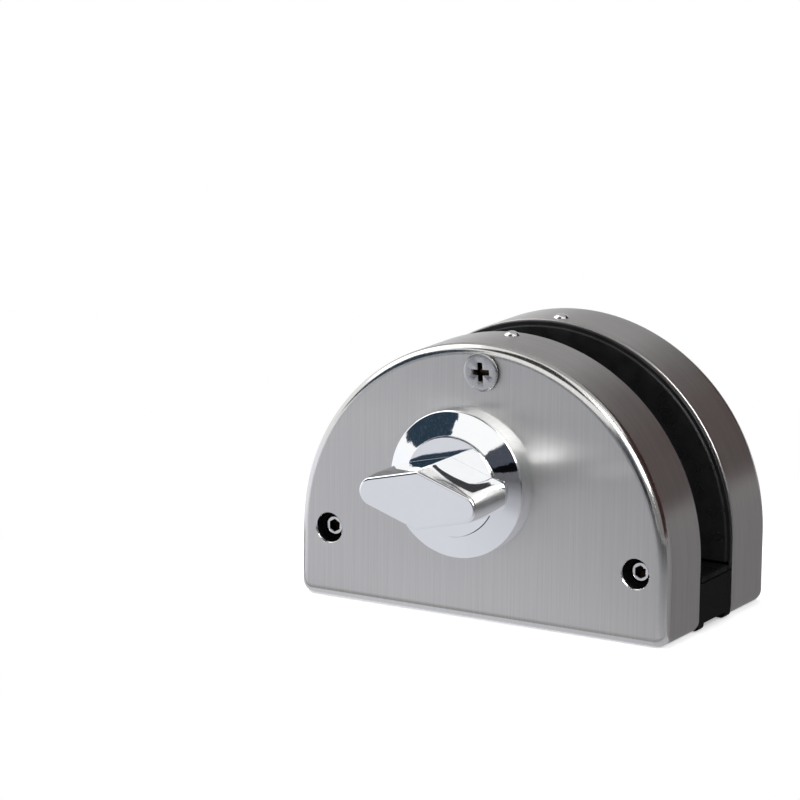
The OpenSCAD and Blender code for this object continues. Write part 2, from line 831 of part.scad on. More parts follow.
// Square bar with a round journal at the rear and a groove for its clip
module spindle() {
    color(zinc) front_half() turning() {
        translate([-spindle_w / 2, -spindle_w / 2, square_low_h])
            cube([spindle_w, spindle_w, spindle_top_h - square_low_h]);
        translate([0, 0, clip_top_h]) cylinder(r = journal_r, h = square_low_h - clip_top_h);
        translate([0, 0, clip_low_h - thread_fit])
            cylinder(r = groove_r, h = clip_t + 2 * thread_fit);
        translate([0, 0, spindle_low_h])
            cylinder(r = journal_r, h = clip_low_h - spindle_low_h);
    }
}

// Point on the involute of a circle of radius r, unrolled by a degrees
function involute(r, a) = r * [cos(a) + a * PI / 180 * sin(a), sin(a) - a * PI / 180 * cos(a)];

// Roll angle in degrees at which the involute of the base circle reaches radius r
function roll_angle(r) = sqrt((r / base_r) ^ 2 - 1) * 180 / PI;

// Turns a point about the origin
function turned(p, a) = [p.x * cos(a) - p.y * sin(a), p.x * sin(a) + p.y * cos(a)];

// Outline of one pinion tooth round the x axis, from root to tip and back
function pinion_tooth() =
    let (
        steps = 6,
        tip_roll = roll_angle(pitch_r + tip_add),
        rise = involute(base_r, roll_angle(pitch_r)),
        half_angle = half_tooth / pitch_r * 180 / PI + atan2(rise.y, rise.x),
        root = turned([pitch_r - root_ded, 0], -half_angle),
        flank = [for (i = [0:steps]) turned(involute(base_r, tip_roll * i / steps), -half_angle)]
    )
    concat([root], flank, [for (i = [steps:-1:0]) [flank[i].x, -flank[i].y]], [[root.x, -root.y]]);

module drive_pinion() {
    tooth = pinion_tooth();
    square_w = spindle_w + 2 * spindle_fit;
    color(zinc) front_half() turning() difference() {
        union() {
            translate([0, 0, pinion_low_h]) linear_extrude(pinion_t)
                polygon([for (i = [0:pinion_teeth - 1]) each
                    [for (p = tooth) turned(p, 360 * i / pinion_teeth)]]);
            translate([0, 0, square_low_h]) cylinder(r = pinion_hub_r, h = pinion_t / 2);
        }
        translate([0, 0, bolt_mid_h]) cube([square_w, square_w, 2 * bolt_t], center = true);
    }
}

// Open ring that snaps into the groove of the spindle
module spindle_clip() {
    color(steel) front_half() turning() difference() {
        ring(clip_r, groove_r + thread_fit, clip_low_h, clip_top_h);
        translate([0, -groove_r * 0.8, clip_low_h - cut])
            cube([clip_r + cut, groove_r * 1.6, clip_t + 2 * cut]);
    }
}

// Outline of one rack tooth at height y, from its upper to its lower flank
function rack_tooth(y) =
    [[rack_root_x, y + half_root], [rack_x - tip_add, y + half_tip],
        [rack_x - tip_add, y - half_tip], [rack_root_x, y - half_root]];

// Flat bolt with a wide head, and an arm with rack teeth and a slot for the stop pin
module deadbolt() {
    half_w = bolt_w / 2;
    slot_r = stop_pin_r + stop_play;
    teeth = [for (i = [rack_last:-1:rack_first]) each rack_tooth(axis_h + (i + 0.5) * pitch)];
    color(zinc) front_half() translate([0, -rest_travel, 0]) difference() {
        translate([0, 0, bolt_low_h]) linear_extrude(bolt_t) polygon(concat(
            [[-half_w, bolt_recess + bolt_bevel], [bolt_bevel - half_w, bolt_recess],
                [half_w - bolt_bevel, bolt_recess], [half_w, bolt_recess + bolt_bevel],
                [half_w, bolt_arm_h - bolt_bevel], [half_w - bolt_bevel, bolt_arm_h],
                [rack_root_x, bolt_arm_h]],
            teeth,
            [[rack_root_x, bolt_shoulder_h], [bolt_bevel - half_w, bolt_shoulder_h],
                [-half_w, bolt_shoulder_h - bolt_bevel]]));
        translate([slot_x, stop_pin_h, bolt_low_h - cut]) {
            cylinder(r = slot_r, h = bolt_t + 2 * cut);
            translate([0, throw, 0]) cylinder(r = slot_r, h = bolt_t + 2 * cut);
            translate([-slot_r, 0, 0]) cube([2 * slot_r, throw, bolt_t + 2 * cut]);
        }
    }
}

front_cover();
front_chassis();
front_clamp_plate();
front_pad();
front_clamp_screws();
front_cover_screw();
front_rim_stud();
front_spine_screws();
rear_cover();
rear_chassis();
rear_clamp_plate();
rear_pad();
rear_clamp_screws();
rear_cover_screw();
rear_rim_stud();
rear_spine_screws();
spine();
glass_edge_cushion();
mechanism_plate();
mechanism_plate_screws();
stop_pin();
rosette();
shank_bush();
friction_washer();
thumbturn();
spindle();
drive_pinion();
spindle_clip();
deadbolt();
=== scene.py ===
"""Looks of a half-round glass door lock: satin covers, chrome thumbturn, rubber pads and screws."""
import math

import bmesh
import bpy
from mathutils import Matrix, Vector, noise


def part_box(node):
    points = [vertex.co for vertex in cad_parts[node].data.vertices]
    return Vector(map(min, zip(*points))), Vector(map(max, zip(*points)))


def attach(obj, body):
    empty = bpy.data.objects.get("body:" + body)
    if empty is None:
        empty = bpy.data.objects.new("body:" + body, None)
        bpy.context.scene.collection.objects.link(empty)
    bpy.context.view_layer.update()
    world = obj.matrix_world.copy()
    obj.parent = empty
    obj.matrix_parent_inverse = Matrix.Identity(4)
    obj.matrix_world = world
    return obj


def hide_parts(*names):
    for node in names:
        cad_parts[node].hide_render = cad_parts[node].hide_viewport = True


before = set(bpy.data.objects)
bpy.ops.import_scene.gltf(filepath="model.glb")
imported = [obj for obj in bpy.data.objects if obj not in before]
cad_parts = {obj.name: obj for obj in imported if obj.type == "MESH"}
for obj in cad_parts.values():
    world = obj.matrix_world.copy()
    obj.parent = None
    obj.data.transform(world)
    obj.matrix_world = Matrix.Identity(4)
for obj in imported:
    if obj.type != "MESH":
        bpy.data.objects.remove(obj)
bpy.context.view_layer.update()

MM = 0.001


def box_mm(node):
    """Lowest and highest corner of a node, in millimetres."""
    low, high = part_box(node)
    return low / MM, high / MM


# Sizes of the lock, in millimetres, read from the frame
cover_low, cover_high = box_mm("front_cover")
ARC_R = cover_high.x
TOP_H = cover_high.z
SIDE_H = TOP_H - ARC_R
FACE_H = -cover_low.y
MOUTH_H = -cover_high.y

pad_low, pad_high = box_mm("front_pad")
PAD_LOW = pad_low.z
PAD_FACE_H = -pad_high.y
EDGE_SHOW = ARC_R - pad_high.x

turn_low, turn_high = box_mm("thumbturn")
AXIS_X = (turn_low.x + turn_high.x) / 2
BLADE_FRONT_H = -turn_low.y
SHANK_END_H = -turn_high.y
BASE_R = (turn_high.z - turn_low.z) / 2
AXIS_Z = (turn_high.z + turn_low.z) / 2

rose_low, rose_high = box_mm("rosette")
ROSE_R = (rose_high.x - rose_low.x) / 2
ROSE_TOP_H = -rose_low.y

clamp_low, clamp_high = box_mm("front_clamp_screws")
CLAMP_R = (clamp_high.z - clamp_low.z) / 2
CLAMP_X = clamp_high.x - CLAMP_R
CLAMP_Z = (clamp_high.z + clamp_low.z) / 2
CLAMP_TOP_H = -clamp_low.y
CLAMP_END_H = -clamp_high.y

head_low, head_high = box_mm("front_cover_screw")
HEAD_R = (head_high.x - head_low.x) / 2
HEAD_Z = (head_high.z + head_low.z) / 2
HEAD_TOP_H = -head_low.y
SCREW_END_H = -head_high.y

stud_low, stud_high = box_mm("front_rim_stud")
STUD_R = (stud_high.x - stud_low.x) / 2
STUD_H = -(stud_low.y + stud_high.y) / 2
STUD_TOP = stud_high.z
STUD_FOOT = stud_low.z

bolt_low, bolt_high = box_mm("deadbolt")

# Sizes that no box of the frame tells, in millimetres: covers
SHEET_T = 1.2
EDGE_R = 2.4
MOUTH_ROUND = 0.35
CORNER_R = 2.9
ACCESS_R = 3.25
ACCESS_BEVEL = 0.2
HEAD_PLAY = 0.25
SLOT_PLAY = 0.6
OVERCUT = 0.5

# Pads
PAD_INSET = 1.4
PAD_STEP_INSET = 2.0
PAD_RIM_STEP = 0.45
PAD_RIM_GAP = 0.1
PAD_LIP_T = 2.0
PAD_T = 3.25

# Thumbturn; its rest turn is in degrees
REST_TURN = 2.3
BLADE_HALF_L = 14.3
BLADE_HALF_W = 6.5
BLADE_END_R = 3.3
BLADE_RIDGE_R = 2.2
BLADE_BACK = 7.7
BLADE_BACK_R = 2.5
BLADE_SINK = 0.05
BLADE_BEVEL = 0.6
BLADE_CROWN = 0.35
BLADE_CROWN_L = 6.0
BLADE_ROOT = 1.0
ROOT_REACH = 3.0
BASE_FRONT = 7.7
BASE_BACK = 3.4
SHANK_R = 5.0

# Rosette; the bulge of its dome is a share of the rise
ROSE_WALL = 4.8
ROSE_FLOOR = 3.0
ROSE_BORE_R = 8.05
DOME_BULGE = 0.16
KNOB_GAP = 0.05

# Clamp screws
HEX_W = 2.5
SOCKET_DEPTH = 2.6
SOCKET_EDGE_W = 0.55
SOCKET_EDGE_H = 0.6
SCREW_END_BEVEL = 0.4

# Cover screw: inset and drop of each point of its rounded head edge, then its cross recess,
# turned in degrees, with half length and half width as shares of the head's radius
SCREW_R = 2.0
HEAD_RIM_H = 0.2
HEAD_EDGE = [(0, 0.45), (0, 0.32), (0.1, 0.12), (0.35, 0.03), (0.6, 0)]
RECESS_TURN = 4
RECESS_DEPTH = 1.9
RECESS_ABOVE = 0.3
RECESS_FOOT = (0.234, 0.10875)
RECESS_MOUTH = (0.5616, 0.1508)

# Rim stud
STUD_SHANK_R = 1.0

# Small rounds on sharp edges
COVER_ROUND = 0.1
PAD_ROUND = 0.2
ROSE_ROUND = 0.3
TURN_ROUND = 0.18
CLAMP_ROUND = 0.08
HEAD_ROUND = 0.07
SPINE_ROUND = 0.2
CUSHION_ROUND = 0.25
BOLT_ROUND = 0.15

# Segments of the round shapes
ARC_STEPS = 192
HOLE_STEPS = 96
SCREW_STEPS = 64
CORNER_STEPS = 14
EDGE_STEPS = 10
MOUTH_STEPS = 4
CURVE_STEPS = 12
CROWN_STEPS = 10
BEVEL_STEPS = 8
BACK_STEPS = 16
END_STEPS = 96
RIDGE_STEPS = 72

# How close a point is to a plane that it lies in, and two points are that become one, in
# millimetres; then the angles in degrees up to which faces are one flat
NEAR = 0.001
CUT_NEAR = 0.0001
MOUTH_NEAR = 0.01
SAME_POINT = 0.002
CUT_FLAT = 0.5
CAD_FLAT = 1.0

# Camera: angles in degrees, distance and aim in metres, lens in millimetres
CAMERA_AZIMUTH = 29.79
CAMERA_ELEVATION = 12.48
CAMERA_ROLL = 0.69
CAMERA_DISTANCE = 0.9638
CAMERA_LENS = 201.0
CAMERA_AIM = Vector((-0.02005, -FACE_H * MM, 0.04644))


def make_camera():
    """Camera at the photograph's angle: from the right of the thumbturn side, a little above."""
    azimuth = math.radians(CAMERA_AZIMUTH)
    elevation = math.radians(CAMERA_ELEVATION)
    back = Vector((math.sin(azimuth) * math.cos(elevation),
                   -math.cos(azimuth) * math.cos(elevation),
                   math.sin(elevation)))
    level = back.cross(Vector((0, 0, 1))) * -1
    level.normalize()
    rise = back.cross(level)
    roll = math.radians(CAMERA_ROLL)
    right = level * math.cos(roll) + rise * math.sin(roll)
    up = rise * math.cos(roll) - level * math.sin(roll)
    data = bpy.data.cameras.new("camera")
    data.sensor_width = 36
    data.lens = CAMERA_LENS
    data.clip_start = 0.01
    data.clip_end = 50
    camera = bpy.data.objects.new("camera", data)
    bpy.context.scene.collection.objects.link(camera)
    turn = Matrix((right, up, back)).transposed().to_4x4()
    camera.matrix_world = Matrix.Translation(CAMERA_AIM + back * CAMERA_DISTANCE) @ turn
    bpy.context.scene.camera = camera


# Node materials

def start_material(name):
    """New node material and its main shader."""
    material = bpy.data.materials.new(name)
    material.use_nodes = True
    return material, material.node_tree, material.node_tree.nodes["Principled BSDF"]


def bare_material(name):
    """New node material without a shader, and its output."""
    material = bpy.data.materials.new(name)
    material.use_nodes = True
    tree = material.node_tree
    tree.nodes.clear()
    return material, tree, tree.nodes.new("ShaderNodeOutputMaterial")


def object_noise(tree, scale, detail=3.0, rough=0.5):
    """Noise over Object coordinates, stretched by a scale per metre along each axis."""
    place = tree.nodes.new("ShaderNodeTexCoord")
    mapping = tree.nodes.new("ShaderNodeMapping")
    mapping.inputs["Scale"].default_value = scale
    texture = tree.nodes.new("ShaderNodeTexNoise")
    texture.inputs["Scale"].default_value = 1.0
    texture.inputs["Detail"].default_value = detail
    texture.inputs["Roughness"].default_value = rough
    tree.links.new(place.outputs["Object"], mapping.inputs["Vector"])
    tree.links.new(mapping.outputs["Vector"], texture.inputs["Vector"])
    return texture.outputs["Fac"]


def even_noise(tree, scale, detail=3.0, rough=0.5):
    """Noise of the same scale per metre along all three axes."""
    return object_noise(tree, (scale, scale, scale), detail, rough)


def spread(tree, value, low, high, from_low=0.3, from_high=0.7):
    """Value moved from one range into another."""
    node = tree.nodes.new("ShaderNodeMapRange")
    node.inputs["From Min"].default_value = from_low
    node.inputs["From Max"].default_value = from_high
    node.inputs["To Min"].default_value = low
    node.inputs["To Max"].default_value = high
    tree.links.new(value, node.inputs["Value"])
    return node.outputs["Result"]


def blend_values(tree, factor, first, second):
    """Mix of two values by a third."""
    node = tree.nodes.new("ShaderNodeMix")
    tree.links.new(factor, node.inputs[0])
    tree.links.new(first, node.inputs[2])
    tree.links.new(second, node.inputs[3])
    return node.outputs[0]


def blend_colours(tree, factor, first, second):
    """Mix of two colours by a value."""
    node = tree.nodes.new("ShaderNodeMix")
    node.data_type = "RGBA"
    tree.links.new(factor, node.inputs[0])
    tree.links.new(first, node.inputs[6])
    tree.links.new(second, node.inputs[7])
    return node.outputs[2]


def mix_shaders(tree, factor, first, second):
    """Mix of two shaders by a value."""
    node = tree.nodes.new("ShaderNodeMixShader")
    tree.links.new(factor, node.inputs["Fac"])
    tree.links.new(first, node.inputs[1])
    tree.links.new(second, node.inputs[2])
    return node.outputs[0]


def two_tone(tree, factor, first, second):
    """Colour between two tones, by a value."""
    ramp = tree.nodes.new("ShaderNodeValToRGB")
    ramp.color_ramp.elements[0].color = (*first, 1)
    ramp.color_ramp.elements[1].color = (*second, 1)
    tree.links.new(factor, ramp.inputs["Fac"])
    return ramp.outputs["Color"]


def larger(tree, first, second):
    """The larger of two values."""
    node = tree.nodes.new("ShaderNodeMath")
    node.operation = "MAXIMUM"
    tree.links.new(first, node.inputs[0])
    tree.links.new(second, node.inputs[1])
    return node.outputs[0]


def height_off_glass(tree):
    """Distance of a point from the mid-plane of the glass, in metres."""
    place = tree.nodes.new("ShaderNodeTexCoord")
    split = tree.nodes.new("ShaderNodeSeparateXYZ")
    tree.links.new(place.outputs["Object"], split.inputs["Vector"])
    height = tree.nodes.new("ShaderNodeMath")
    height.operation = "ABSOLUTE"
    tree.links.new(split.outputs["Y"], height.inputs[0])
    return height.outputs[0]


def add_bump(tree, shader, height, distance, strength):
    """Bump of a real height in metres on a shader."""
    bump = tree.nodes.new("ShaderNodeBump")
    bump.inputs["Strength"].default_value = strength
    bump.inputs["Distance"].default_value = distance
    tree.links.new(height, bump.inputs["Height"])
    tree.links.new(bump.outputs["Normal"], shader.inputs["Normal"])


# Depth of the fine relief on each finish, in metres
GRAIN_DEPTH = 0.000005
FINE_DEPTH = 0.00001
CAST_DEPTH = 0.00005
RUBBER_DEPTH = 0.00009

# Patterns of the finishes, in waves per metre
STEEL_CLOUDS = 28
CHROME_WEAR = 260
CHROME_RIPPLE = 1100
PLATE_PATCHES = 700
SCREW_PATCHES = 900
FINE_PITS = 3500
CAST_GRAIN = 2600
RUBBER_GRAIN = 1900
RUBBER_WAVES = 260
CARD_CLOUDS = 60

# Tones of the chrome, of the painted shade in a screw's recess and of the black paint, tint of the
# brass, and tints of a rubber's dark and pale spots
CHROME_TONES = ((0.93, 0.94, 0.955), (0.97, 0.975, 0.98))
RECESS_SHADE_TONES = ((0.012, 0.008, 0.005), (0.09, 0.06, 0.035))
PAINT_TONES = ((0.0015, 0.0015, 0.0017), (0.004, 0.004, 0.0045))
BRASS_TINT = (1.0, 0.78, 0.42)
RUBBER_DARK = (1.0, 1.0, 1.1)
RUBBER_PALE = (4.0, 4.0, 4.2)

# Roughness of the chrome, the paint and the rubber, and how far plated steel strays from its
# tone and its roughness
CHROME_ROUGH = (0.03, 0.07)
PAINT_ROUGH = (0.38, 0.6)
RUBBER_ROUGH = (0.22, 0.5)
PAINT_SHINE = 0.06
TONE_STRAY = (0.82, 1.1)
PLATE_STRAY = (0.8, 1.3)
SCREW_STRAY = (0.8, 1.2)

# Brushed steel: stretch of its patterns per metre, tones, roughness and smear
FACE_GRAIN = (3600, 500, 45)
FACE_BANDS = (2600, 300, 30)
RIM_GRAIN = (70, 3600, 70)
RIM_BANDS = (30, 900, 30)
FACE_TONES = ((0.68, 0.67, 0.65), (0.78, 0.77, 0.75))
RIM_TONES = ((0.50, 0.485, 0.475), (0.59, 0.575, 0.565))
FACE_ROUGH = (0.40, 0.44)
RIM_ROUGH = (0.30, 0.33)
EDGE_ROUGH = (0.13, 0.16)
FACE_SMEAR = 0.9
RIM_SMEAR = 0.6

# Where one finish turns into the next, in millimetres: below the face, to both sides of the
# foot of the rounded edge, and below the top of a screw, where its painted recess shade begins
FACE_BAND = (0.12, 0.02)
RIM_BAND = (0.2, 0.6)
RECESS_SHADE_BAND = (0.5, 0.15)


def satin_steel():
    """Brushed stainless: upright grain on the faces, grain along the rim, a clean rounded edge."""
    material, tree, shader = start_material("satin_cover_steel")
    shader.inputs["Metallic"].default_value = 1.0
    height = height_off_glass(tree)
    on_face = spread(tree, height, 0, 1, (FACE_H - FACE_BAND[0]) * MM,
                     (FACE_H - FACE_BAND[1]) * MM)
    edge_h = FACE_H - EDGE_R
    on_rim = spread(tree, height, 1, 0, (edge_h - RIM_BAND[0]) * MM, (edge_h + RIM_BAND[1]) * MM)
    grain = blend_values(tree, on_rim, object_noise(tree, FACE_GRAIN, detail=4.0, rough=0.62),
                         object_noise(tree, RIM_GRAIN, detail=2.0))
    bands = blend_values(tree, on_rim, object_noise(tree, FACE_BANDS),
                         object_noise(tree, RIM_BANDS, detail=2.0))
    cloud = even_noise(tree, STEEL_CLOUDS, detail=2.0)
    tone = spread(tree, blend_values(tree, cloud, grain, bands), 0, 1)
    colour = blend_colours(tree, on_rim, two_tone(tree, tone, *FACE_TONES),
                           two_tone(tree, tone, *RIM_TONES))
    tree.links.new(colour, shader.inputs["Base Color"])
    off_rim = blend_values(tree, on_face, spread(tree, bands, *EDGE_ROUGH),
                           spread(tree, bands, *FACE_ROUGH))
    tree.links.new(blend_values(tree, on_rim, off_rim, spread(tree, bands, *RIM_ROUGH)),
                   shader.inputs["Roughness"])
    add_bump(tree, shader, grain, GRAIN_DEPTH, strength=0.25)
    brush_steel(tree, shader, on_face, on_rim)
    return material


def brush_steel(tree, shader, on_face, on_rim):
    """Smears the shine across the grain: sideways on a face, from front to back on the rim."""
    direction = tree.nodes.new("ShaderNodeCombineXYZ")
    tree.links.new(spread(tree, on_rim, 1, 0, 0, 1), direction.inputs["X"])
    tree.links.new(on_rim, direction.inputs["Y"])
    tree.links.new(direction.outputs[0], shader.inputs["Tangent"])
    smear = larger(tree, spread(tree, on_face, 0, FACE_SMEAR, 0, 1),
                   spread(tree, on_rim, 0, RIM_SMEAR, 0, 1))
    tree.links.new(smear, shader.inputs["Anisotropic"])


def polished_chrome():
    """Bright chrome with the faint ripple of a polished casting."""
    material, tree, shader = start_material("polished_chrome")
    shader.inputs["Metallic"].default_value = 1.0
    wear = even_noise(tree, CHROME_WEAR)
    tree.links.new(two_tone(tree, wear, *CHROME_TONES), shader.inputs["Base Color"])
    tree.links.new(spread(tree, wear, *CHROME_ROUGH), shader.inputs["Roughness"])
    ripple = even_noise(tree, CHROME_RIPPLE, rough=0.6)
    add_bump(tree, shader, ripple, FINE_DEPTH, strength=0.45)
    return material


def plated_steel(name, tone, rough, tint=(1.0, 1.0, 1.0)):
    """Plated steel of a screw or plate, a little uneven in tone."""
    material, tree, shader = start_material(name)
    shader.inputs["Metallic"].default_value = 1.0
    patch = even_noise(tree, PLATE_PATCHES, detail=4.0, rough=0.6)
    dark = tuple(tone * TONE_STRAY[0] * t for t in tint)
    light = tuple(min(1.0, tone * TONE_STRAY[1]) * t for t in tint)
    tree.links.new(two_tone(tree, patch, dark, light), shader.inputs["Base Color"])
    tree.links.new(spread(tree, patch, rough * PLATE_STRAY[0], rough * PLATE_STRAY[1]),
                   shader.inputs["Roughness"])
    add_bump(tree, shader, even_noise(tree, FINE_PITS, rough=0.6), FINE_DEPTH, strength=0.4)
    return material


def screw_steel(name, top_h, dark, light, rough):
    """Steel of a screw, with painted shade, dark brown, inside its recess below a height in
    millimetres.
    """
    material, tree, shader = start_material(name)
    shader.inputs["Metallic"].default_value = 1.0
    patch = even_noise(tree, SCREW_PATCHES, detail=4.0, rough=0.6)
    # Painted shade: below the screw's top the recess gets a dark brown tone in place of shade from
    # the light
    out_of_recess_shade = spread(tree, height_off_glass(tree), 0, 1, (top_h - RECESS_SHADE_BAND[0]) * MM,
                      (top_h - RECESS_SHADE_BAND[1]) * MM)
    face = two_tone(tree, patch, (dark,) * 3, (light,) * 3)
    recess_shade = two_tone(tree, patch, *RECESS_SHADE_TONES)
    tree.links.new(blend_colours(tree, out_of_recess_shade, recess_shade, face), shader.inputs["Base Color"])
    tree.links.new(spread(tree, patch, rough * SCREW_STRAY[0], rough * SCREW_STRAY[1]),
                   shader.inputs["Roughness"])
    add_bump(tree, shader, even_noise(tree, FINE_PITS, rough=0.6), FINE_DEPTH, strength=0.5)
    return material


def black_casting():
    """Cast zinc painted matt black, with a fine grain."""
    material, tree, shader = start_material("black_casting")
    grain = even_noise(tree, CAST_GRAIN, detail=4.0, rough=0.65)
    shader.inputs["Specular IOR Level"].default_value = PAINT_SHINE
    tree.links.new(two_tone(tree, grain, *PAINT_TONES), shader.inputs["Base Color"])
    tree.links.new(spread(tree, grain, *PAINT_ROUGH), shader.inputs["Roughness"])
    add_bump(tree, shader, grain, CAST_DEPTH, strength=0.6)
    return material


def moulded_rubber(name, level, shine):
    """Black moulded rubber: slight sheen, fine texture and a wavy moulded edge."""
    material, tree, shader = start_material(name)
    grain = even_noise(tree, RUBBER_GRAIN, detail=4.0, rough=0.7)
    waves = even_noise(tree, RUBBER_WAVES, detail=2.0)
    shader.inputs["Specular IOR Level"].default_value = shine
    tree.links.new(two_tone(tree, grain, [level * t for t in RUBBER_DARK],
                            [level * t for t in RUBBER_PALE]),
                   shader.inputs["Base Color"])
    tree.links.new(spread(tree, waves, *RUBBER_ROUGH), shader.inputs["Roughness"])
    relief = blend_values(tree, waves, grain, waves)
    add_bump(tree, shader, relief, RUBBER_DEPTH, strength=0.6)
    return material


def turned_brass():
    """Turned brass of the bush."""
    return plated_steel("turned_brass", tone=0.72, rough=0.25, tint=BRASS_TINT)


# Mesh helpers. A piece is made in a half's own space, in millimetres: X and Y lie in the
# cover face, with Y up, and Z is the distance from the middle of the glass.

FRONT = Matrix(((MM, 0, 0, 0), (0, 0, -MM, 0), (0, MM, 0, 0), (0, 0, 0, 1)))
REAR = Matrix(((MM, 0, 0, 0), (0, 0, MM, 0), (0, MM, 0, 0), (0, 0, 0, 1)))
TURNED = (FRONT @ Matrix.Translation((AXIS_X, AXIS_Z, 0))
          @ Matrix.Rotation(-math.radians(REST_TURN), 4, "Z"))


def link_object(name, bm):
    """Object of a finished bmesh, in the scene."""
    mesh = bpy.data.meshes.new(name)
    bm.to_mesh(mesh)
    bm.free()
    piece = bpy.data.objects.new(name, mesh)
    bpy.context.scene.collection.objects.link(piece)
    return piece


def to_object(name, bm, half):
    """Object from a bmesh, put in its place in the lock."""
    bmesh.ops.transform(bm, matrix=half, verts=bm.verts)
    bmesh.ops.remove_doubles(bm, verts=bm.verts, dist=SAME_POINT * MM)
    bmesh.ops.recalc_face_normals(bm, faces=bm.faces)
    return link_object(name, bm)


def settle(piece):
    """Applies a piece's modifiers to its mesh."""
    bpy.context.view_layer.update()
    graph = bpy.context.evaluated_depsgraph_get()
    mesh = bpy.data.meshes.new_from_object(piece.evaluated_get(graph))
    piece.modifiers.clear()
    old = piece.data
    piece.data = mesh
    bpy.data.meshes.remove(old)


def combine(piece, tool, operation):
    """Cuts a tool from a piece or joins it to the piece, and removes the tool."""
    modifier = piece.modifiers.new("cut", "BOOLEAN")
    modifier.operation = operation
    modifier.solver = "MANIFOLD"
    modifier.object = tool
    settle(piece)
    mesh = tool.data
    bpy.data.objects.remove(tool)
    bpy.data.meshes.remove(mesh)


def with_joined_flats(mesh, angle):
    """Bmesh of a mesh whose flats are one face each, up to an angle in degrees."""
    bm = bmesh.new()
    bm.from_mesh(mesh)
    bmesh.ops.remove_doubles(bm, verts=bm.verts, dist=SAME_POINT * MM)
    bmesh.ops.dissolve_limit(bm, angle_limit=math.radians(angle), verts=bm.verts,
                             edges=bm.edges)
    return bm


def soften(piece, width, segments=2, angle=40.0, crease=None):
    """Small round on every sharp edge, then smooth shading that keeps flats flat.

    Angle is where an edge counts as sharp, and crease is where its shading still breaks.
    """
    if width > 0:
        bevel = piece.modifiers.new("edges", "BEVEL")
        bevel.width = width * MM
        bevel.segments = segments
        bevel.limit_method = "ANGLE"
        bevel.angle_limit = math.radians(angle)
        bevel.harden_normals = False
        settle(piece)
    for face in piece.data.polygons:
        face.use_smooth = True
    piece.data.set_sharp_from_angle(angle=math.radians(crease or angle))
    weigh = piece.modifiers.new("flats", "WEIGHTED_NORMAL")
    weigh.keep_sharp = True
    weigh.weight = 50


def dress(piece, body, material, slot, *nodes):
    """Gives a finished piece its material, its body and the nodes that it stands for; slot is not
    used.
    """
    piece.data.materials.clear()
    piece.data.materials.append(material)
    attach(piece, body)
    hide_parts(*nodes)
    return piece


def spun(bm, profile, steps, centre=(0, 0)):
    """Turned shape from a profile of (radius, height) points, spun round an upright axis."""
    verts = [bm.verts.new((centre[0] + r, centre[1], h)) for r, h in profile]
    edges = [bm.edges.new((a, b)) for a, b in zip(verts, verts[1:])]
    bmesh.ops.spin(bm, geom=verts + edges, cent=(*centre, 0), axis=(0, 0, 1),
                   angle=math.tau, steps=steps, use_merge=True, use_duplicate=False)
    bmesh.ops.remove_doubles(bm, verts=bm.verts, dist=NEAR)


def outline_face(bm, inset, height, low=None):
    """Half-round outline of the lock as one flat face at a height, taken in by inset."""
    made = bmesh.ops.create_circle(bm, cap_ends=True, radius=ARC_R - inset, segments=ARC_STEPS)
    bmesh.ops.translate(bm, verts=made["verts"], vec=(0, SIDE_H, height))
    geom = bm.verts[:] + bm.edges[:] + bm.faces[:]
    bmesh.ops.bisect_plane(bm, geom=geom, dist=CUT_NEAR, plane_co=(0, SIDE_H, 0),
                           plane_no=(0, 1, 0), clear_inner=True)
    across = [e for e in bm.edges if all(abs(v.co.y - SIDE_H) < NEAR for v in e.verts)]
    drawn = bmesh.ops.extrude_edge_only(bm, edges=across)["geom"]
    lower = [v for v in drawn if isinstance(v, bmesh.types.BMVert)]
    foot = inset if low is None else low
    bmesh.ops.translate(bm, verts=lower, vec=(0, foot - SIDE_H, 0))
    bmesh.ops.dissolve_edges(bm, edges=across, use_verts=False)
    if low is None:
        corners = [v for v in bm.verts if v.co.y < foot + NEAR]
        bmesh.ops.bevel(bm, geom=corners, offset=CORNER_R - inset, offset_type="OFFSET",
                        segments=CORNER_STEPS, profile=0.5, affect="VERTICES", material=-1)
    return bm.faces[:]


def raised(bm, faces, depth):
    """Pushes a flat face up into a block."""
    grown = bmesh.ops.extrude_face_region(bm, geom=faces)["geom"]
    top = [v for v in grown if isinstance(v, bmesh.types.BMVert)]
    bmesh.ops.translate(bm, verts=top, vec=(0, 0, depth))


def cylinder(bm, r, low, high, centre, segments=HOLE_STEPS):
    """Upright cylinder or prism between two heights."""
    place = Matrix.Translation((*centre, (low + high) / 2))
    bmesh.ops.create_cone(bm, cap_ends=True, segments=segments, radius1=r, radius2=r,
                          depth=high - low, matrix=place)


# Pieces

def cover(name, half, steel):
    """Pressed cover: rounded edge, turned-in sheet and the holes of its screws and the bolt."""
    bm = bmesh.new()
    faces = outline_face(bm, 0, MOUTH_H)
    raised(bm, faces, FACE_H - MOUTH_H)
    rim_edge = [e for e in bm.edges if all(v.co.z > FACE_H - NEAR for v in e.verts)]
    bmesh.ops.bevel(bm, geom=rim_edge, offset=EDGE_R, offset_type="OFFSET",
                    segments=EDGE_STEPS, profile=0.5, affect="EDGES", material=-1)
    mouth = [f for f in bm.faces if all(v.co.z < MOUTH_H + NEAR for v in f.verts)]
    bmesh.ops.delete(bm, geom=mouth, context="FACES")
    piece = to_object(name, bm, half)
    wall = piece.modifiers.new("sheet", "SOLIDIFY")
    wall.thickness = SHEET_T * MM
    wall.offset = -1
    wall.use_even_offset = True
    settle(piece)
    round_mouth(piece)
    combine(piece, cover_holes(half), "DIFFERENCE")
    soften(piece, COVER_ROUND)
    return dress(piece, "housing", steel, "cover_steel", name)


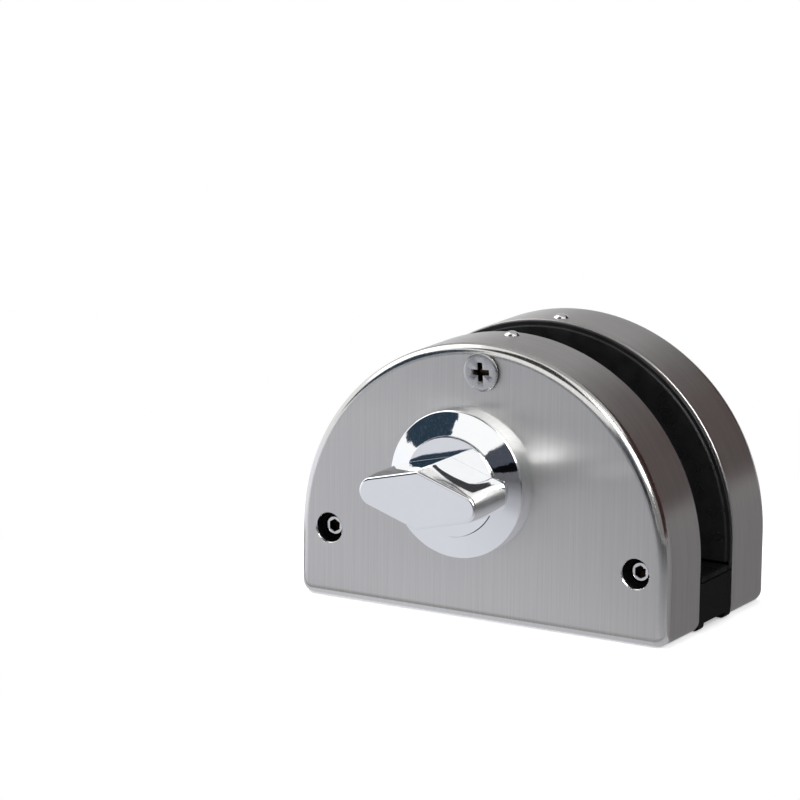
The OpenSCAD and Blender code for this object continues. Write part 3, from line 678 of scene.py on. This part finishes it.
def round_mouth(piece):
    """Rounds the outer edge of a cover's mouth."""
    bm = bmesh.new()
    bm.from_mesh(piece.data)

    def is_outer(vert):
        """Whether a point lies in the mouth, on the outside of the sheet."""
        x, y, z = abs(vert.co.x) / MM, abs(vert.co.y) / MM, vert.co.z / MM
        inset = ARC_R - math.hypot(x, z - SIDE_H) if z > SIDE_H else min(ARC_R - x, z)
        return y < MOUTH_H + MOUTH_NEAR and inset < SHEET_T - 0.2

    edges = [e for e in bm.edges if all(is_outer(v) for v in e.verts)]
    bmesh.ops.bevel(bm, geom=edges, offset=MOUTH_ROUND * MM, offset_type="OFFSET",
                    segments=MOUTH_STEPS, profile=0.5, affect="EDGES", material=-1)
    bm.to_mesh(piece.data)
    bm.free()


def cover_holes(half):
    """Everything that is punched out of a cover, as one tool."""
    bm = bmesh.new()
    inner = FACE_H - SHEET_T
    deep = inner - 2 * OVERCUT
    for side in (-1, 1):
        centre = (side * CLAMP_X, CLAMP_Z)
        profile = [(0, deep), (ACCESS_R, deep), (ACCESS_R, FACE_H - ACCESS_BEVEL),
                   (ACCESS_R + ACCESS_BEVEL + OVERCUT, FACE_H + OVERCUT), (0, FACE_H + OVERCUT)]
        spun(bm, profile, HOLE_STEPS, centre)
    hole_r = HEAD_R - (HEAD_TOP_H - FACE_H) + HEAD_PLAY
    spun(bm, [(0, deep), (hole_r - SHEET_T, deep), (hole_r - SHEET_T, inner), (hole_r, FACE_H),
              (hole_r, FACE_H + OVERCUT), (0, FACE_H + OVERCUT)], HOLE_STEPS, (0, HEAD_Z))
    if half is FRONT:
        cylinder(bm, ROSE_BORE_R + HEAD_PLAY, deep, FACE_H + OVERCUT, (AXIS_X, AXIS_Z))
        block(bm, (bolt_low.x - SLOT_PLAY, -2 * SHEET_T, -bolt_high.y - SLOT_PLAY),
              (bolt_high.x + SLOT_PLAY, 2 * SHEET_T, -bolt_low.y + SLOT_PLAY))
    return to_object("cover_tool", bm, half)


def pad(name, half, rubber):
    """Rubber pad: thin plug behind a wider lip that shows in the mouth of the cover."""
    bm = bmesh.new()
    raised(bm, outline_face(bm, PAD_INSET, PAD_FACE_H, PAD_LOW), PAD_LIP_T)
    piece = to_object(name, bm, half)
    bm = bmesh.new()
    raised(bm, outline_face(bm, PAD_INSET + PAD_STEP_INSET, PAD_FACE_H + OVERCUT, PAD_LOW),
           PAD_T - OVERCUT)
    combine(piece, to_object("pad_plug", bm, half), "UNION")
    rim_low = PAD_FACE_H + PAD_RIM_STEP
    bm = bmesh.new()
    raised(bm, outline_face(bm, EDGE_SHOW, rim_low, PAD_LOW), MOUTH_H - PAD_RIM_GAP - rim_low)
    combine(piece, to_object("pad_rim", bm, half), "UNION")
    soften(piece, PAD_ROUND, segments=3)
    return dress(piece, "housing", rubber, "pad_rubber", name)


def rosette(chrome):
    """Collar: straight wall, gentle dome and a cup round the base of the thumbturn."""
    cup_r = BASE_R + KNOB_GAP
    wall_h = FACE_H + ROSE_WALL
    floor_h = FACE_H + ROSE_FLOOR
    rise = ROSE_TOP_H - wall_h
    run = ROSE_R - cup_r
    crown = [(cup_r + run * (1 - t), wall_h + rise * (t + DOME_BULGE * t * (1 - t)))
             for t in [i / CURVE_STEPS for i in range(CURVE_STEPS + 1)]]
    profile = [(ROSE_BORE_R, floor_h), (ROSE_BORE_R, FACE_H), (ROSE_R, FACE_H)] + crown
    profile += [(cup_r, floor_h), (ROSE_BORE_R, floor_h)]
    bm = bmesh.new()
    spun(bm, profile, ARC_STEPS, (AXIS_X, AXIS_Z))
    piece = to_object("rosette", bm, FRONT)
    soften(piece, ROSE_ROUND, segments=4, angle=30)
    return dress(piece, "housing", chrome, "polished_chrome", "rosette")


def blade_rings():
    """Insets and heights of the blade's outline: straight root, slight crown, rounded front."""
    top = BLADE_FRONT_H
    rings = [(0, FACE_H + BASE_FRONT - BLADE_ROOT)]
    for i in range(CROWN_STEPS):
        t = i / CROWN_STEPS
        rings.append((BLADE_CROWN * t * t, top - BLADE_BEVEL - BLADE_CROWN_L * (1 - t)))
    for i in range(BEVEL_STEPS + 1):
        a = math.pi / 2 * i / BEVEL_STEPS
        rings.append((BLADE_CROWN + BLADE_BEVEL * (1 - math.cos(a)),
                      top - BLADE_BEVEL * (1 - math.sin(a))))
    return rings


def blade_block():
    """Blade before its back is trimmed: hull of two round ends and two round ridges."""
    bm = bmesh.new()
    reach = BLADE_HALF_L - BLADE_END_R
    ridge = BLADE_HALF_W - BLADE_RIDGE_R
    corners = [(reach, 0, BLADE_END_R, END_STEPS), (0, ridge, BLADE_RIDGE_R, RIDGE_STEPS),
               (-reach, 0, BLADE_END_R, END_STEPS), (0, -ridge, BLADE_RIDGE_R, RIDGE_STEPS)]
    for inset, height in blade_rings():
        for x, y, r, segments in corners:
            bmesh.ops.create_circle(bm, cap_ends=False, radius=r + BLADE_CROWN / 2 - inset,
                                    segments=segments,
                                    matrix=Matrix.Translation((x, y, height)))
    hull = bmesh.ops.convex_hull(bm, input=bm.verts)
    spare = set(hull["geom_interior"] + hull["geom_unused"])
    bmesh.ops.delete(bm, geom=[v for v in spare if isinstance(v, bmesh.types.BMVert)],
                     context="VERTS")
    return to_object("thumbturn", bm, TURNED)


def thumbturn(chrome):
    """Blade on a round base with its shank, in one casting."""
    piece = blade_block()
    combine(piece, blade_back_tool(), "INTERSECT")
    bm = bmesh.new()
    back_h = FACE_H + BASE_BACK
    front_h = FACE_H + BASE_FRONT
    spun(bm, [(0, SHANK_END_H), (SHANK_R, SHANK_END_H), (SHANK_R, back_h), (BASE_R, back_h),
              (BASE_R, front_h), (0, front_h)], ARC_STEPS)
    combine(piece, to_object("turn_base", bm, TURNED), "UNION")
    bm = with_joined_flats(piece.data, CUT_FLAT)
    bm.to_mesh(piece.data)
    bm.free()
    soften(piece, TURN_ROUND, segments=3, angle=30, crease=18)
    return dress(piece, "thumbturn", chrome, "polished_chrome", "thumbturn")


def block(bm, low, high):
    """Upright block between two corners."""
    low, high = Vector(low), Vector(high)
    bmesh.ops.create_cube(bm, size=1, matrix=Matrix.Translation((low + high) / 2)
                          @ Matrix.Diagonal((*(high - low), 1)))


def blade_back_tool():
    """Block whose lower corners are rounded: it trims the back corners of the blade."""
    bm = bmesh.new()
    reach = BLADE_HALF_L + BLADE_CROWN
    back_h = FACE_H + BLADE_BACK - BLADE_SINK
    block(bm, (-reach, -2 * BLADE_HALF_W, back_h), (reach, 2 * BLADE_HALF_W, BLADE_FRONT_H + 2))
    corners = [e for e in bm.edges
               if all(v.co.z < back_h + NEAR for v in e.verts)
               and abs(e.verts[0].co.x - e.verts[1].co.x) < NEAR]
    bmesh.ops.bevel(bm, geom=corners, offset=BLADE_BACK_R, offset_type="OFFSET",
                    segments=BACK_STEPS, profile=0.5, affect="EDGES", material=-1)
    tool = to_object("blade_tool", bm, TURNED)
    bm = bmesh.new()
    root = BASE_R - BLADE_ROOT
    block(bm, (-root, -2 * BLADE_HALF_W, back_h - ROOT_REACH),
          (root, 2 * BLADE_HALF_W, back_h + ROOT_REACH))
    combine(tool, to_object("root_tool", bm, TURNED), "UNION")
    return tool


def clamp_screws(name, half, steel):
    """Two hex socket set screws with a rounded rim round the socket."""
    bm = bmesh.new()
    for side in (-1, 1):
        spun(bm, [(0, CLAMP_END_H), (CLAMP_R - SCREW_END_BEVEL, CLAMP_END_H),
                  (CLAMP_R, CLAMP_END_H + SCREW_END_BEVEL),
                  (CLAMP_R, CLAMP_TOP_H - SOCKET_EDGE_H),
                  (CLAMP_R - SOCKET_EDGE_W, CLAMP_TOP_H), (0, CLAMP_TOP_H)],
             SCREW_STEPS, (side * CLAMP_X, CLAMP_Z))
    piece = to_object(name, bm, half)
    bm = bmesh.new()
    for side in (-1, 1):
        cylinder(bm, HEX_W / 2 / math.cos(math.pi / 6), CLAMP_TOP_H - SOCKET_DEPTH,
                 CLAMP_TOP_H + 1, (side * CLAMP_X, CLAMP_Z), segments=6)
    combine(piece, to_object("hex_tool", bm, half), "DIFFERENCE")
    soften(piece, CLAMP_ROUND)
    return dress(piece, "housing", steel, "plated_steel", name)


def cover_screw(name, half, steel):
    """Countersunk screw with a cross recess, its head a little proud of the cover."""
    bm = bmesh.new()
    cone_low = HEAD_TOP_H - HEAD_RIM_H - (HEAD_R - SCREW_R)
    edge = [(HEAD_R - inset, HEAD_TOP_H - drop) for inset, drop in HEAD_EDGE]
    spun(bm, [(0, SCREW_END_H), (SCREW_R, SCREW_END_H), (SCREW_R, cone_low)] + edge
         + [(0, HEAD_TOP_H)], HOLE_STEPS, (0, HEAD_Z))
    piece = to_object(name, bm, half)
    for turn in (RECESS_TURN, RECESS_TURN + 90):
        bm = bmesh.new()
        bmesh.ops.create_cube(bm, size=1)
        for vert in bm.verts:
            low = vert.co.z < 0
            reach, width = RECESS_FOOT if low else RECESS_MOUTH
            vert.co.x = math.copysign(HEAD_R * reach, vert.co.x)
            vert.co.y = math.copysign(HEAD_R * width, vert.co.y)
            vert.co.z = -RECESS_DEPTH if low else RECESS_ABOVE
        bmesh.ops.rotate(bm, verts=bm.verts, cent=(0, 0, 0),
                         matrix=Matrix.Rotation(math.radians(turn), 3, "Z"))
        bmesh.ops.translate(bm, verts=bm.verts, vec=(0, HEAD_Z, HEAD_TOP_H))
        combine(piece, to_object("cross_tool", bm, half), "DIFFERENCE")
    soften(piece, HEAD_ROUND)
    return dress(piece, "housing", steel, "bright_steel", name)


def rim_stud(name, half, steel):
    """Small stud with a low domed head on top of the rim."""
    bm = bmesh.new()
    head_low = TOP_H
    rise = STUD_TOP - head_low
    dome_r = (STUD_R ** 2 + rise ** 2) / (2 * rise)
    dome = [(dome_r * math.sin(a), STUD_TOP - dome_r * (1 - math.cos(a)))
            for a in [math.asin(STUD_R / dome_r) * i / CURVE_STEPS
                      for i in range(CURVE_STEPS, -1, -1)]]
    spun(bm, [(0, STUD_FOOT), (STUD_SHANK_R, STUD_FOOT), (STUD_SHANK_R, head_low)] + dome,
         SCREW_STEPS)
    stand = Matrix.Translation((0, 0, STUD_H)) @ Matrix.Rotation(-math.pi / 2, 4, "X")
    bmesh.ops.transform(bm, matrix=stand, verts=bm.verts)
    piece = to_object(name, bm, half)
    soften(piece, 0, angle=50)
    return dress(piece, "housing", steel, "bright_steel", name)


def softened_copy(node, body, material, slot, width):
    """Copy of a node's mesh with its flats merged and its sharp edges rounded off."""
    piece = link_object(node + "_soft", with_joined_flats(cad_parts[node].data, CAD_FLAT))
    soften(piece, width, segments=3)
    return dress(piece, body, material, slot, node)


def paint_node(node, material):
    """Gives a CAD node that stays a finish of its own."""
    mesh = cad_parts[node].data
    mesh.materials.clear()
    mesh.materials.append(material)


# Studio

# Middle of the curved cards, clearances of cards and papers over the floor, all in metres,
# and how many waves and finer waves fray an edge
CARD_CENTRE = Vector((0, -0.02, 0.03))
CARD_LIFT = 0.0006
PAPER_LIFT = 0.0004
EDGE_WAVES = 26
FINER_WAVES = 2.3

# Mirrored floor: its tone, its level by the distance to the right in metres, and how it
# brightens to the left
GROUND_TONE = (0.665, 0.675, 0.725, 1)
GROUND_RIGHT = (0.94, -0.34, 0)
GROUND_DIM = [(0.0, 1.0), (0.045, 0.87), (0.062, 0.63), (0.10, 0.43), (0.15, 0.28), (0.3, 0.16),
              (0.5, 0.1)]
GROUND_LEFT = (-0.87, 0.5, 0)
GROUND_LIFT = 1.48
LIFT_FROM = 0.03
LIFT_TO = 0.1

# Seen floor: pale and shaded near the lock, white farther off, in metres
FLOOR_REACH = 12
FLOOR_PALE = 0.8
FLOOR_GLOW = 0.40
SHADE_REACH = 0.055
WHITE_FROM = 0.13
WORLD_FILL = 0.4

# Tones of the cards and papers
WARM_DARK = (0.040, 0.018, 0.016)
WARM_SPECK = (0.08, 0.05, 0.05)
BACK_GREY = (0.27, 0.265, 0.275)
# Grey of the painted shadow at the lock's foot
FOOT_SHADOW_GREY = (0.36, 0.36, 0.37)
SKIRTING_GREY = (0.125, 0.125, 0.135)
DIM_GREY = (0.22, 0.22, 0.22)
MID_GREY = (0.42, 0.42, 0.425)
OVERHEAD_DARK = (0.045, 0.045, 0.048)
OVERHEAD_SPECK = (0.07, 0.07, 0.075)
FRONT_GREY = (0.062, 0.068, 0.088)
FRONT_SPECK = (0.12, 0.13, 0.15)
BLACK = (0.003, 0.003, 0.004)
NAVY = (0.022, 0.039, 0.060)
PALE_NAVY = (0.09, 0.12, 0.15)
LEFT_PANEL = (1.9, 1.9, 1.9)
SIDE_PANEL = (15.0, 15.0, 15.0)
LEVEL = (0, 0)

# Cards that the metal mirrors: name, azimuths from +Y and elevations in degrees, tone, specks,
# lean, rag and distance in metres
CARDS = [
    ("back_card", (4, 50), (13.2, 46), WARM_DARK, WARM_SPECK, LEVEL, 0, 0.8),
    ("low_back_card", (4, 50), (1, 12.7), WARM_DARK, WARM_SPECK, LEVEL, 0, 0.8),
    ("middle_card", (-6, 4), (1, 46), DIM_GREY, DIM_GREY, LEVEL, 0, 0.8),
    ("left_card", (-60, -6), (11, 48), MID_GREY, MID_GREY, LEVEL, 0, 0.8),
    ("left_panel", (-118, -60), (20, 60), LEFT_PANEL, LEFT_PANEL, LEVEL, 0, 0.8),
    ("overhead_card", (-124, -212), (46, 84), OVERHEAD_DARK, OVERHEAD_SPECK, LEVEL, 3, 0.8),
    ("back_overhead_card", (-60, 60), (48, 84), MID_GREY, MID_GREY, LEVEL, 0, 0.8),
    ("right_card", (50, 92), (0, 46), WARM_DARK, WARM_SPECK, LEVEL, 0, 0.8),
    ("right_gap_card", (92, 109), (18, 62), DIM_GREY, DIM_GREY, LEVEL, 0, 0.8),
    ("low_right_card", (86, 144), (0, 18), DIM_GREY, DIM_GREY, LEVEL, 0, 0.8),
    ("side_panel", (110, 128), (22, 60), SIDE_PANEL, SIDE_PANEL, LEVEL, 0, 0.8),
    ("front_card", (146, 180), (2, 37), FRONT_GREY, FRONT_SPECK, (0, -24), 3, 0.8),
    ("front_streak", (152, 182), (5.5, 9), BLACK, BLACK, (-6.5, -6.5), 3, 0.78),
    ("skirting_card", (146, 180), (-5, 2.5), SKIRTING_GREY, FRONT_GREY, LEVEL, 0, 0.42),
    ("navy_card", (-111, -147), (8, 34), NAVY, PALE_NAVY, LEVEL, 5, 0.8),
    ("left_front_card", (-180, -138), (-3, 12), NAVY, PALE_NAVY, LEVEL, 2, 0.5),
]

# Papers on the floor: name, low and high corner in metres, tone
PAPERS = [
    ("back_paper", (-0.1, -0.02), (0.9, 0.98), BACK_GREY),
    # Painted shadow: the strip at the foot, seen only in reflections, stands in for the floor's
    # shade beside the lock
    ("foot_shadow_paper", (-0.06, -0.0275), (0.06, -0.0249), FOOT_SHADOW_GREY),
]

# Softboxes: name, place and sides in metres, power in watts
SOFTBOXES = [
    ("top_softbox", (-0.15, -0.1, 0.9), (0.7, 0.5), 6),
    ("left_softbox", (-0.75, -0.1, 0.65), (0.5, 0.5), 5),
    ("right_softbox", (0.63, -0.52, 0.62), (0.3, 0.3), 5),
]
LAMP_AIM = (0, 0, 0.03)


def mottled_glow(name, tone, speck):
    """Tone of a card, with small specks of a second tone."""
    material, tree, out = bare_material(name)
    cloud = even_noise(tree, CARD_CLOUDS, rough=0.6)
    glow = tree.nodes.new("ShaderNodeEmission")
    tree.links.new(two_tone(tree, spread(tree, cloud, 0, 1, 0.55, 0.8), tone, speck),
                   glow.inputs["Color"])
    tree.links.new(glow.outputs[0], out.inputs["Surface"])
    return material


def only_reflected(card):
    """Hides a card from everything but reflections."""
    card.visible_camera = False
    card.visible_diffuse = False
    card.visible_shadow = False
    card.visible_transmission = False


def card_object(name, bm, tone, speck):
    """Card from a bmesh, with its tone, that only reflections see."""
    card = link_object(name, bm)
    card.data.materials.append(mottled_glow(name, tone, speck))
    only_reflected(card)


def fray(spot):
    """Uneven offset of a card's edge at a spot: coarse waves with finer ones on them."""
    return noise.noise(spot) + 0.5 * noise.noise(spot * FINER_WAVES)


def curved_card(name, azimuths, elevations, tone, speck, lean, rag, away):
    """Curved card between two azimuths from +Y and two elevations.

    Lean lifts the low and the high corner of its far side, rag is how far its edge frays,
    both in degrees.
    """
    bm = bmesh.new()
    bmesh.ops.create_grid(bm, x_segments=72, y_segments=48, size=0.5)
    for vert in bm.verts:
        u, v = vert.co.x + 0.5, vert.co.y + 0.5
        spot = Vector((u * EDGE_WAVES, v * EDGE_WAVES, len(name)))
        azimuth = azimuths[0] + (azimuths[1] - azimuths[0]) * u + rag * fray(spot)
        low = elevations[0] + lean[0] * u
        high = elevations[1] + lean[1] * u
        rise = low + (high - low) * v + rag * fray(spot + Vector((40, 0, 0)))
        azimuth, rise = math.radians(azimuth), math.radians(rise)
        vert.co = CARD_CENTRE + away * Vector((math.sin(azimuth) * math.cos(rise),
                                               math.cos(azimuth) * math.cos(rise),
                                               math.sin(rise)))
        vert.co.z = max(vert.co.z, CARD_LIFT)
    card_object(name, bm, tone, speck)


def floor_paper(name, low, high, tone):
    """Paper on the floor beside the lock, which only reflections see."""
    bm = bmesh.new()
    bmesh.ops.create_grid(bm, x_segments=1, y_segments=1, size=0.5)
    size = (high[0] - low[0], high[1] - low[1], 1, 1)
    middle = ((low[0] + high[0]) / 2, (low[1] + high[1]) / 2, PAPER_LIFT)
    bmesh.ops.transform(bm, verts=bm.verts,
                        matrix=Matrix.Translation(middle) @ Matrix.Diagonal(size))
    card_object(name, bm, tone, tone)


def mirror_rays(tree, path):
    """One for a ray that comes off metal or through glass."""
    return larger(tree, path.outputs["Is Glossy Ray"], path.outputs["Is Transmission Ray"])


def along(tree, place, direction):
    """How far a place on the floor lies in a direction, in metres."""
    node = tree.nodes.new("ShaderNodeVectorMath")
    node.operation = "DOT_PRODUCT"
    tree.links.new(place.outputs["Object"], node.inputs[0])
    node.inputs[1].default_value = direction
    return node.outputs["Value"]


def mirrored_ground(tree, place):
    """Floor as metal shows it: dimmer to the right of the lock, brighter to its left."""
    dim = tree.nodes.new("ShaderNodeValToRGB")
    stops = dim.color_ramp.elements
    while len(stops) < len(GROUND_DIM):
        stops.new(0.5)
    for stop, (position, level) in zip(stops, GROUND_DIM):
        stop.position = position
        stop.color = (level, level, level, 1)
    tree.links.new(along(tree, place, GROUND_RIGHT), dim.inputs["Fac"])
    lift = spread(tree, along(tree, place, GROUND_LEFT), 1.0, GROUND_LIFT, LIFT_FROM, LIFT_TO)
    glow = tree.nodes.new("ShaderNodeEmission")
    tree.links.new(lift, glow.inputs["Strength"])
    tint = tree.nodes.new("ShaderNodeMix")
    tint.data_type = "RGBA"
    tint.blend_type = "MULTIPLY"
    tint.inputs[0].default_value = 1.0
    tint.inputs[6].default_value = GROUND_TONE
    tree.links.new(dim.outputs["Color"], tint.inputs[7])
    tree.links.new(tint.outputs[2], glow.inputs["Color"])
    return glow.outputs[0]


def seen_ground(tree, place, matt):
    """Floor as the camera shows it: shaded near the lock, white farther off."""
    lift = tree.nodes.new("ShaderNodeEmission")
    lift.inputs["Strength"].default_value = FLOOR_GLOW
    near = tree.nodes.new("ShaderNodeAddShader")
    tree.links.new(matt, near.inputs[0])
    tree.links.new(lift.outputs[0], near.inputs[1])
    reach = tree.nodes.new("ShaderNodeVectorMath")
    reach.operation = "LENGTH"
    tree.links.new(place.outputs["Object"], reach.inputs[0])
    fade = tree.nodes.new("ShaderNodeMapRange")
    fade.interpolation_type = "SMOOTHSTEP"
    fade.inputs["From Min"].default_value = SHADE_REACH
    fade.inputs["From Max"].default_value = WHITE_FROM
    tree.links.new(reach.outputs["Value"], fade.inputs["Value"])
    white = tree.nodes.new("ShaderNodeEmission")
    return mix_shaders(tree, fade.outputs["Result"], near.outputs[0], white.outputs[0])


def pale_floor():
    """Pale floor with one look for the camera and another one for the metal."""
    bm = bmesh.new()
    bmesh.ops.create_grid(bm, x_segments=1, y_segments=1, size=FLOOR_REACH)
    floor = link_object("floor", bm)
    material, tree, out = bare_material("pale_floor")
    matt = tree.nodes.new("ShaderNodeBsdfDiffuse")
    matt.inputs["Color"].default_value = (FLOOR_PALE, FLOOR_PALE, FLOOR_PALE, 1)
    place = tree.nodes.new("ShaderNodeTexCoord")
    path = tree.nodes.new("ShaderNodeLightPath")
    unseen = mix_shaders(tree, mirror_rays(tree, path), matt.outputs[0],
                         mirrored_ground(tree, place))
    look = mix_shaders(tree, path.outputs["Is Camera Ray"], unseen,
                       seen_ground(tree, place, matt.outputs[0]))
    tree.links.new(look, out.inputs["Surface"])
    floor.data.materials.append(material)


def white_world():
    """World that is white to the camera and to reflections, and a soft fill otherwise."""
    world = bpy.data.worlds.new("studio")
    bpy.context.scene.world = world
    world.use_nodes = True
    tree = world.node_tree
    back = tree.nodes["Background"]
    back.inputs["Color"].default_value = (1, 1, 1, 1)
    path = tree.nodes.new("ShaderNodeLightPath")
    seen = larger(tree, path.outputs["Is Camera Ray"], mirror_rays(tree, path))
    tree.links.new(spread(tree, seen, WORLD_FILL, 1.0, 0, 1), back.inputs["Strength"])


def softbox(name, place, size, power):
    """Area lamp that points at the lock and doesn't show in its metal."""
    data = bpy.data.lights.new(name, "AREA")
    data.shape = "RECTANGLE"
    data.size, data.size_y = size
    data.energy = power
    lamp = bpy.data.objects.new(name, data)
    bpy.context.scene.collection.objects.link(lamp)
    lamp.location = place
    lamp.rotation_mode = "QUATERNION"
    lamp.rotation_quaternion = (Vector(place) - Vector(LAMP_AIM)).to_track_quat("Z", "Y")
    lamp.visible_glossy = False


def make_studio():
    """Floor, world and lamps, and the cards and papers that the metal mirrors."""
    pale_floor()
    white_world()
    for lamp in SOFTBOXES:
        softbox(*lamp)
    for card in CARDS:
        curved_card(*card)
    for paper in PAPERS:
        floor_paper(*paper)


# Scene

scene = bpy.context.scene
scene.view_settings.view_transform = "Standard"
make_camera()
make_studio()

steel = satin_steel()
chrome = polished_chrome()
zinc = plated_steel("plated_steel", tone=0.62, rough=0.28)
bright = plated_steel("bright_steel", tone=0.9, rough=0.12)
screw_finish = screw_steel("cover_screw_steel", HEAD_TOP_H, dark=0.46, light=0.64, rough=0.3)
clamp_finish = screw_steel("clamp_screw_steel", CLAMP_TOP_H, dark=0.62, light=0.85, rough=0.14)
bolt_finish = plated_steel("bolt_steel", tone=0.6, rough=0.3)
casting = black_casting()
rubber = moulded_rubber("pad_rubber", level=0.003, shine=0.4)
cushion_rubber = moulded_rubber("cushion_rubber", level=0.001, shine=0.06)
brass = turned_brass()

for side, half in (("front", FRONT), ("rear", REAR)):
    cover(side + "_cover", half, steel)
    pad(side + "_pad", half, rubber)
    clamp_screws(side + "_clamp_screws", half, clamp_finish)
    cover_screw(side + "_cover_screw", half, screw_finish)
    rim_stud(side + "_rim_stud", half, bright)
    paint_node(side + "_chassis", casting)
    paint_node(side + "_clamp_plate", zinc)
    paint_node(side + "_spine_screws", zinc)

rosette(chrome)
thumbturn(chrome)
softened_copy("spine", "housing", casting, "black_casting", SPINE_ROUND)
softened_copy("glass_edge_cushion", "housing", cushion_rubber, "pad_rubber", CUSHION_ROUND)
softened_copy("deadbolt", "deadbolt", bolt_finish, "bolt_steel", BOLT_ROUND)
for node in ("mechanism_plate", "mechanism_plate_screws", "stop_pin", "spindle", "drive_pinion"):
    paint_node(node, zinc)
paint_node("spindle_clip", bright)
paint_node("friction_washer", bright)
paint_node("shank_bush", brass)
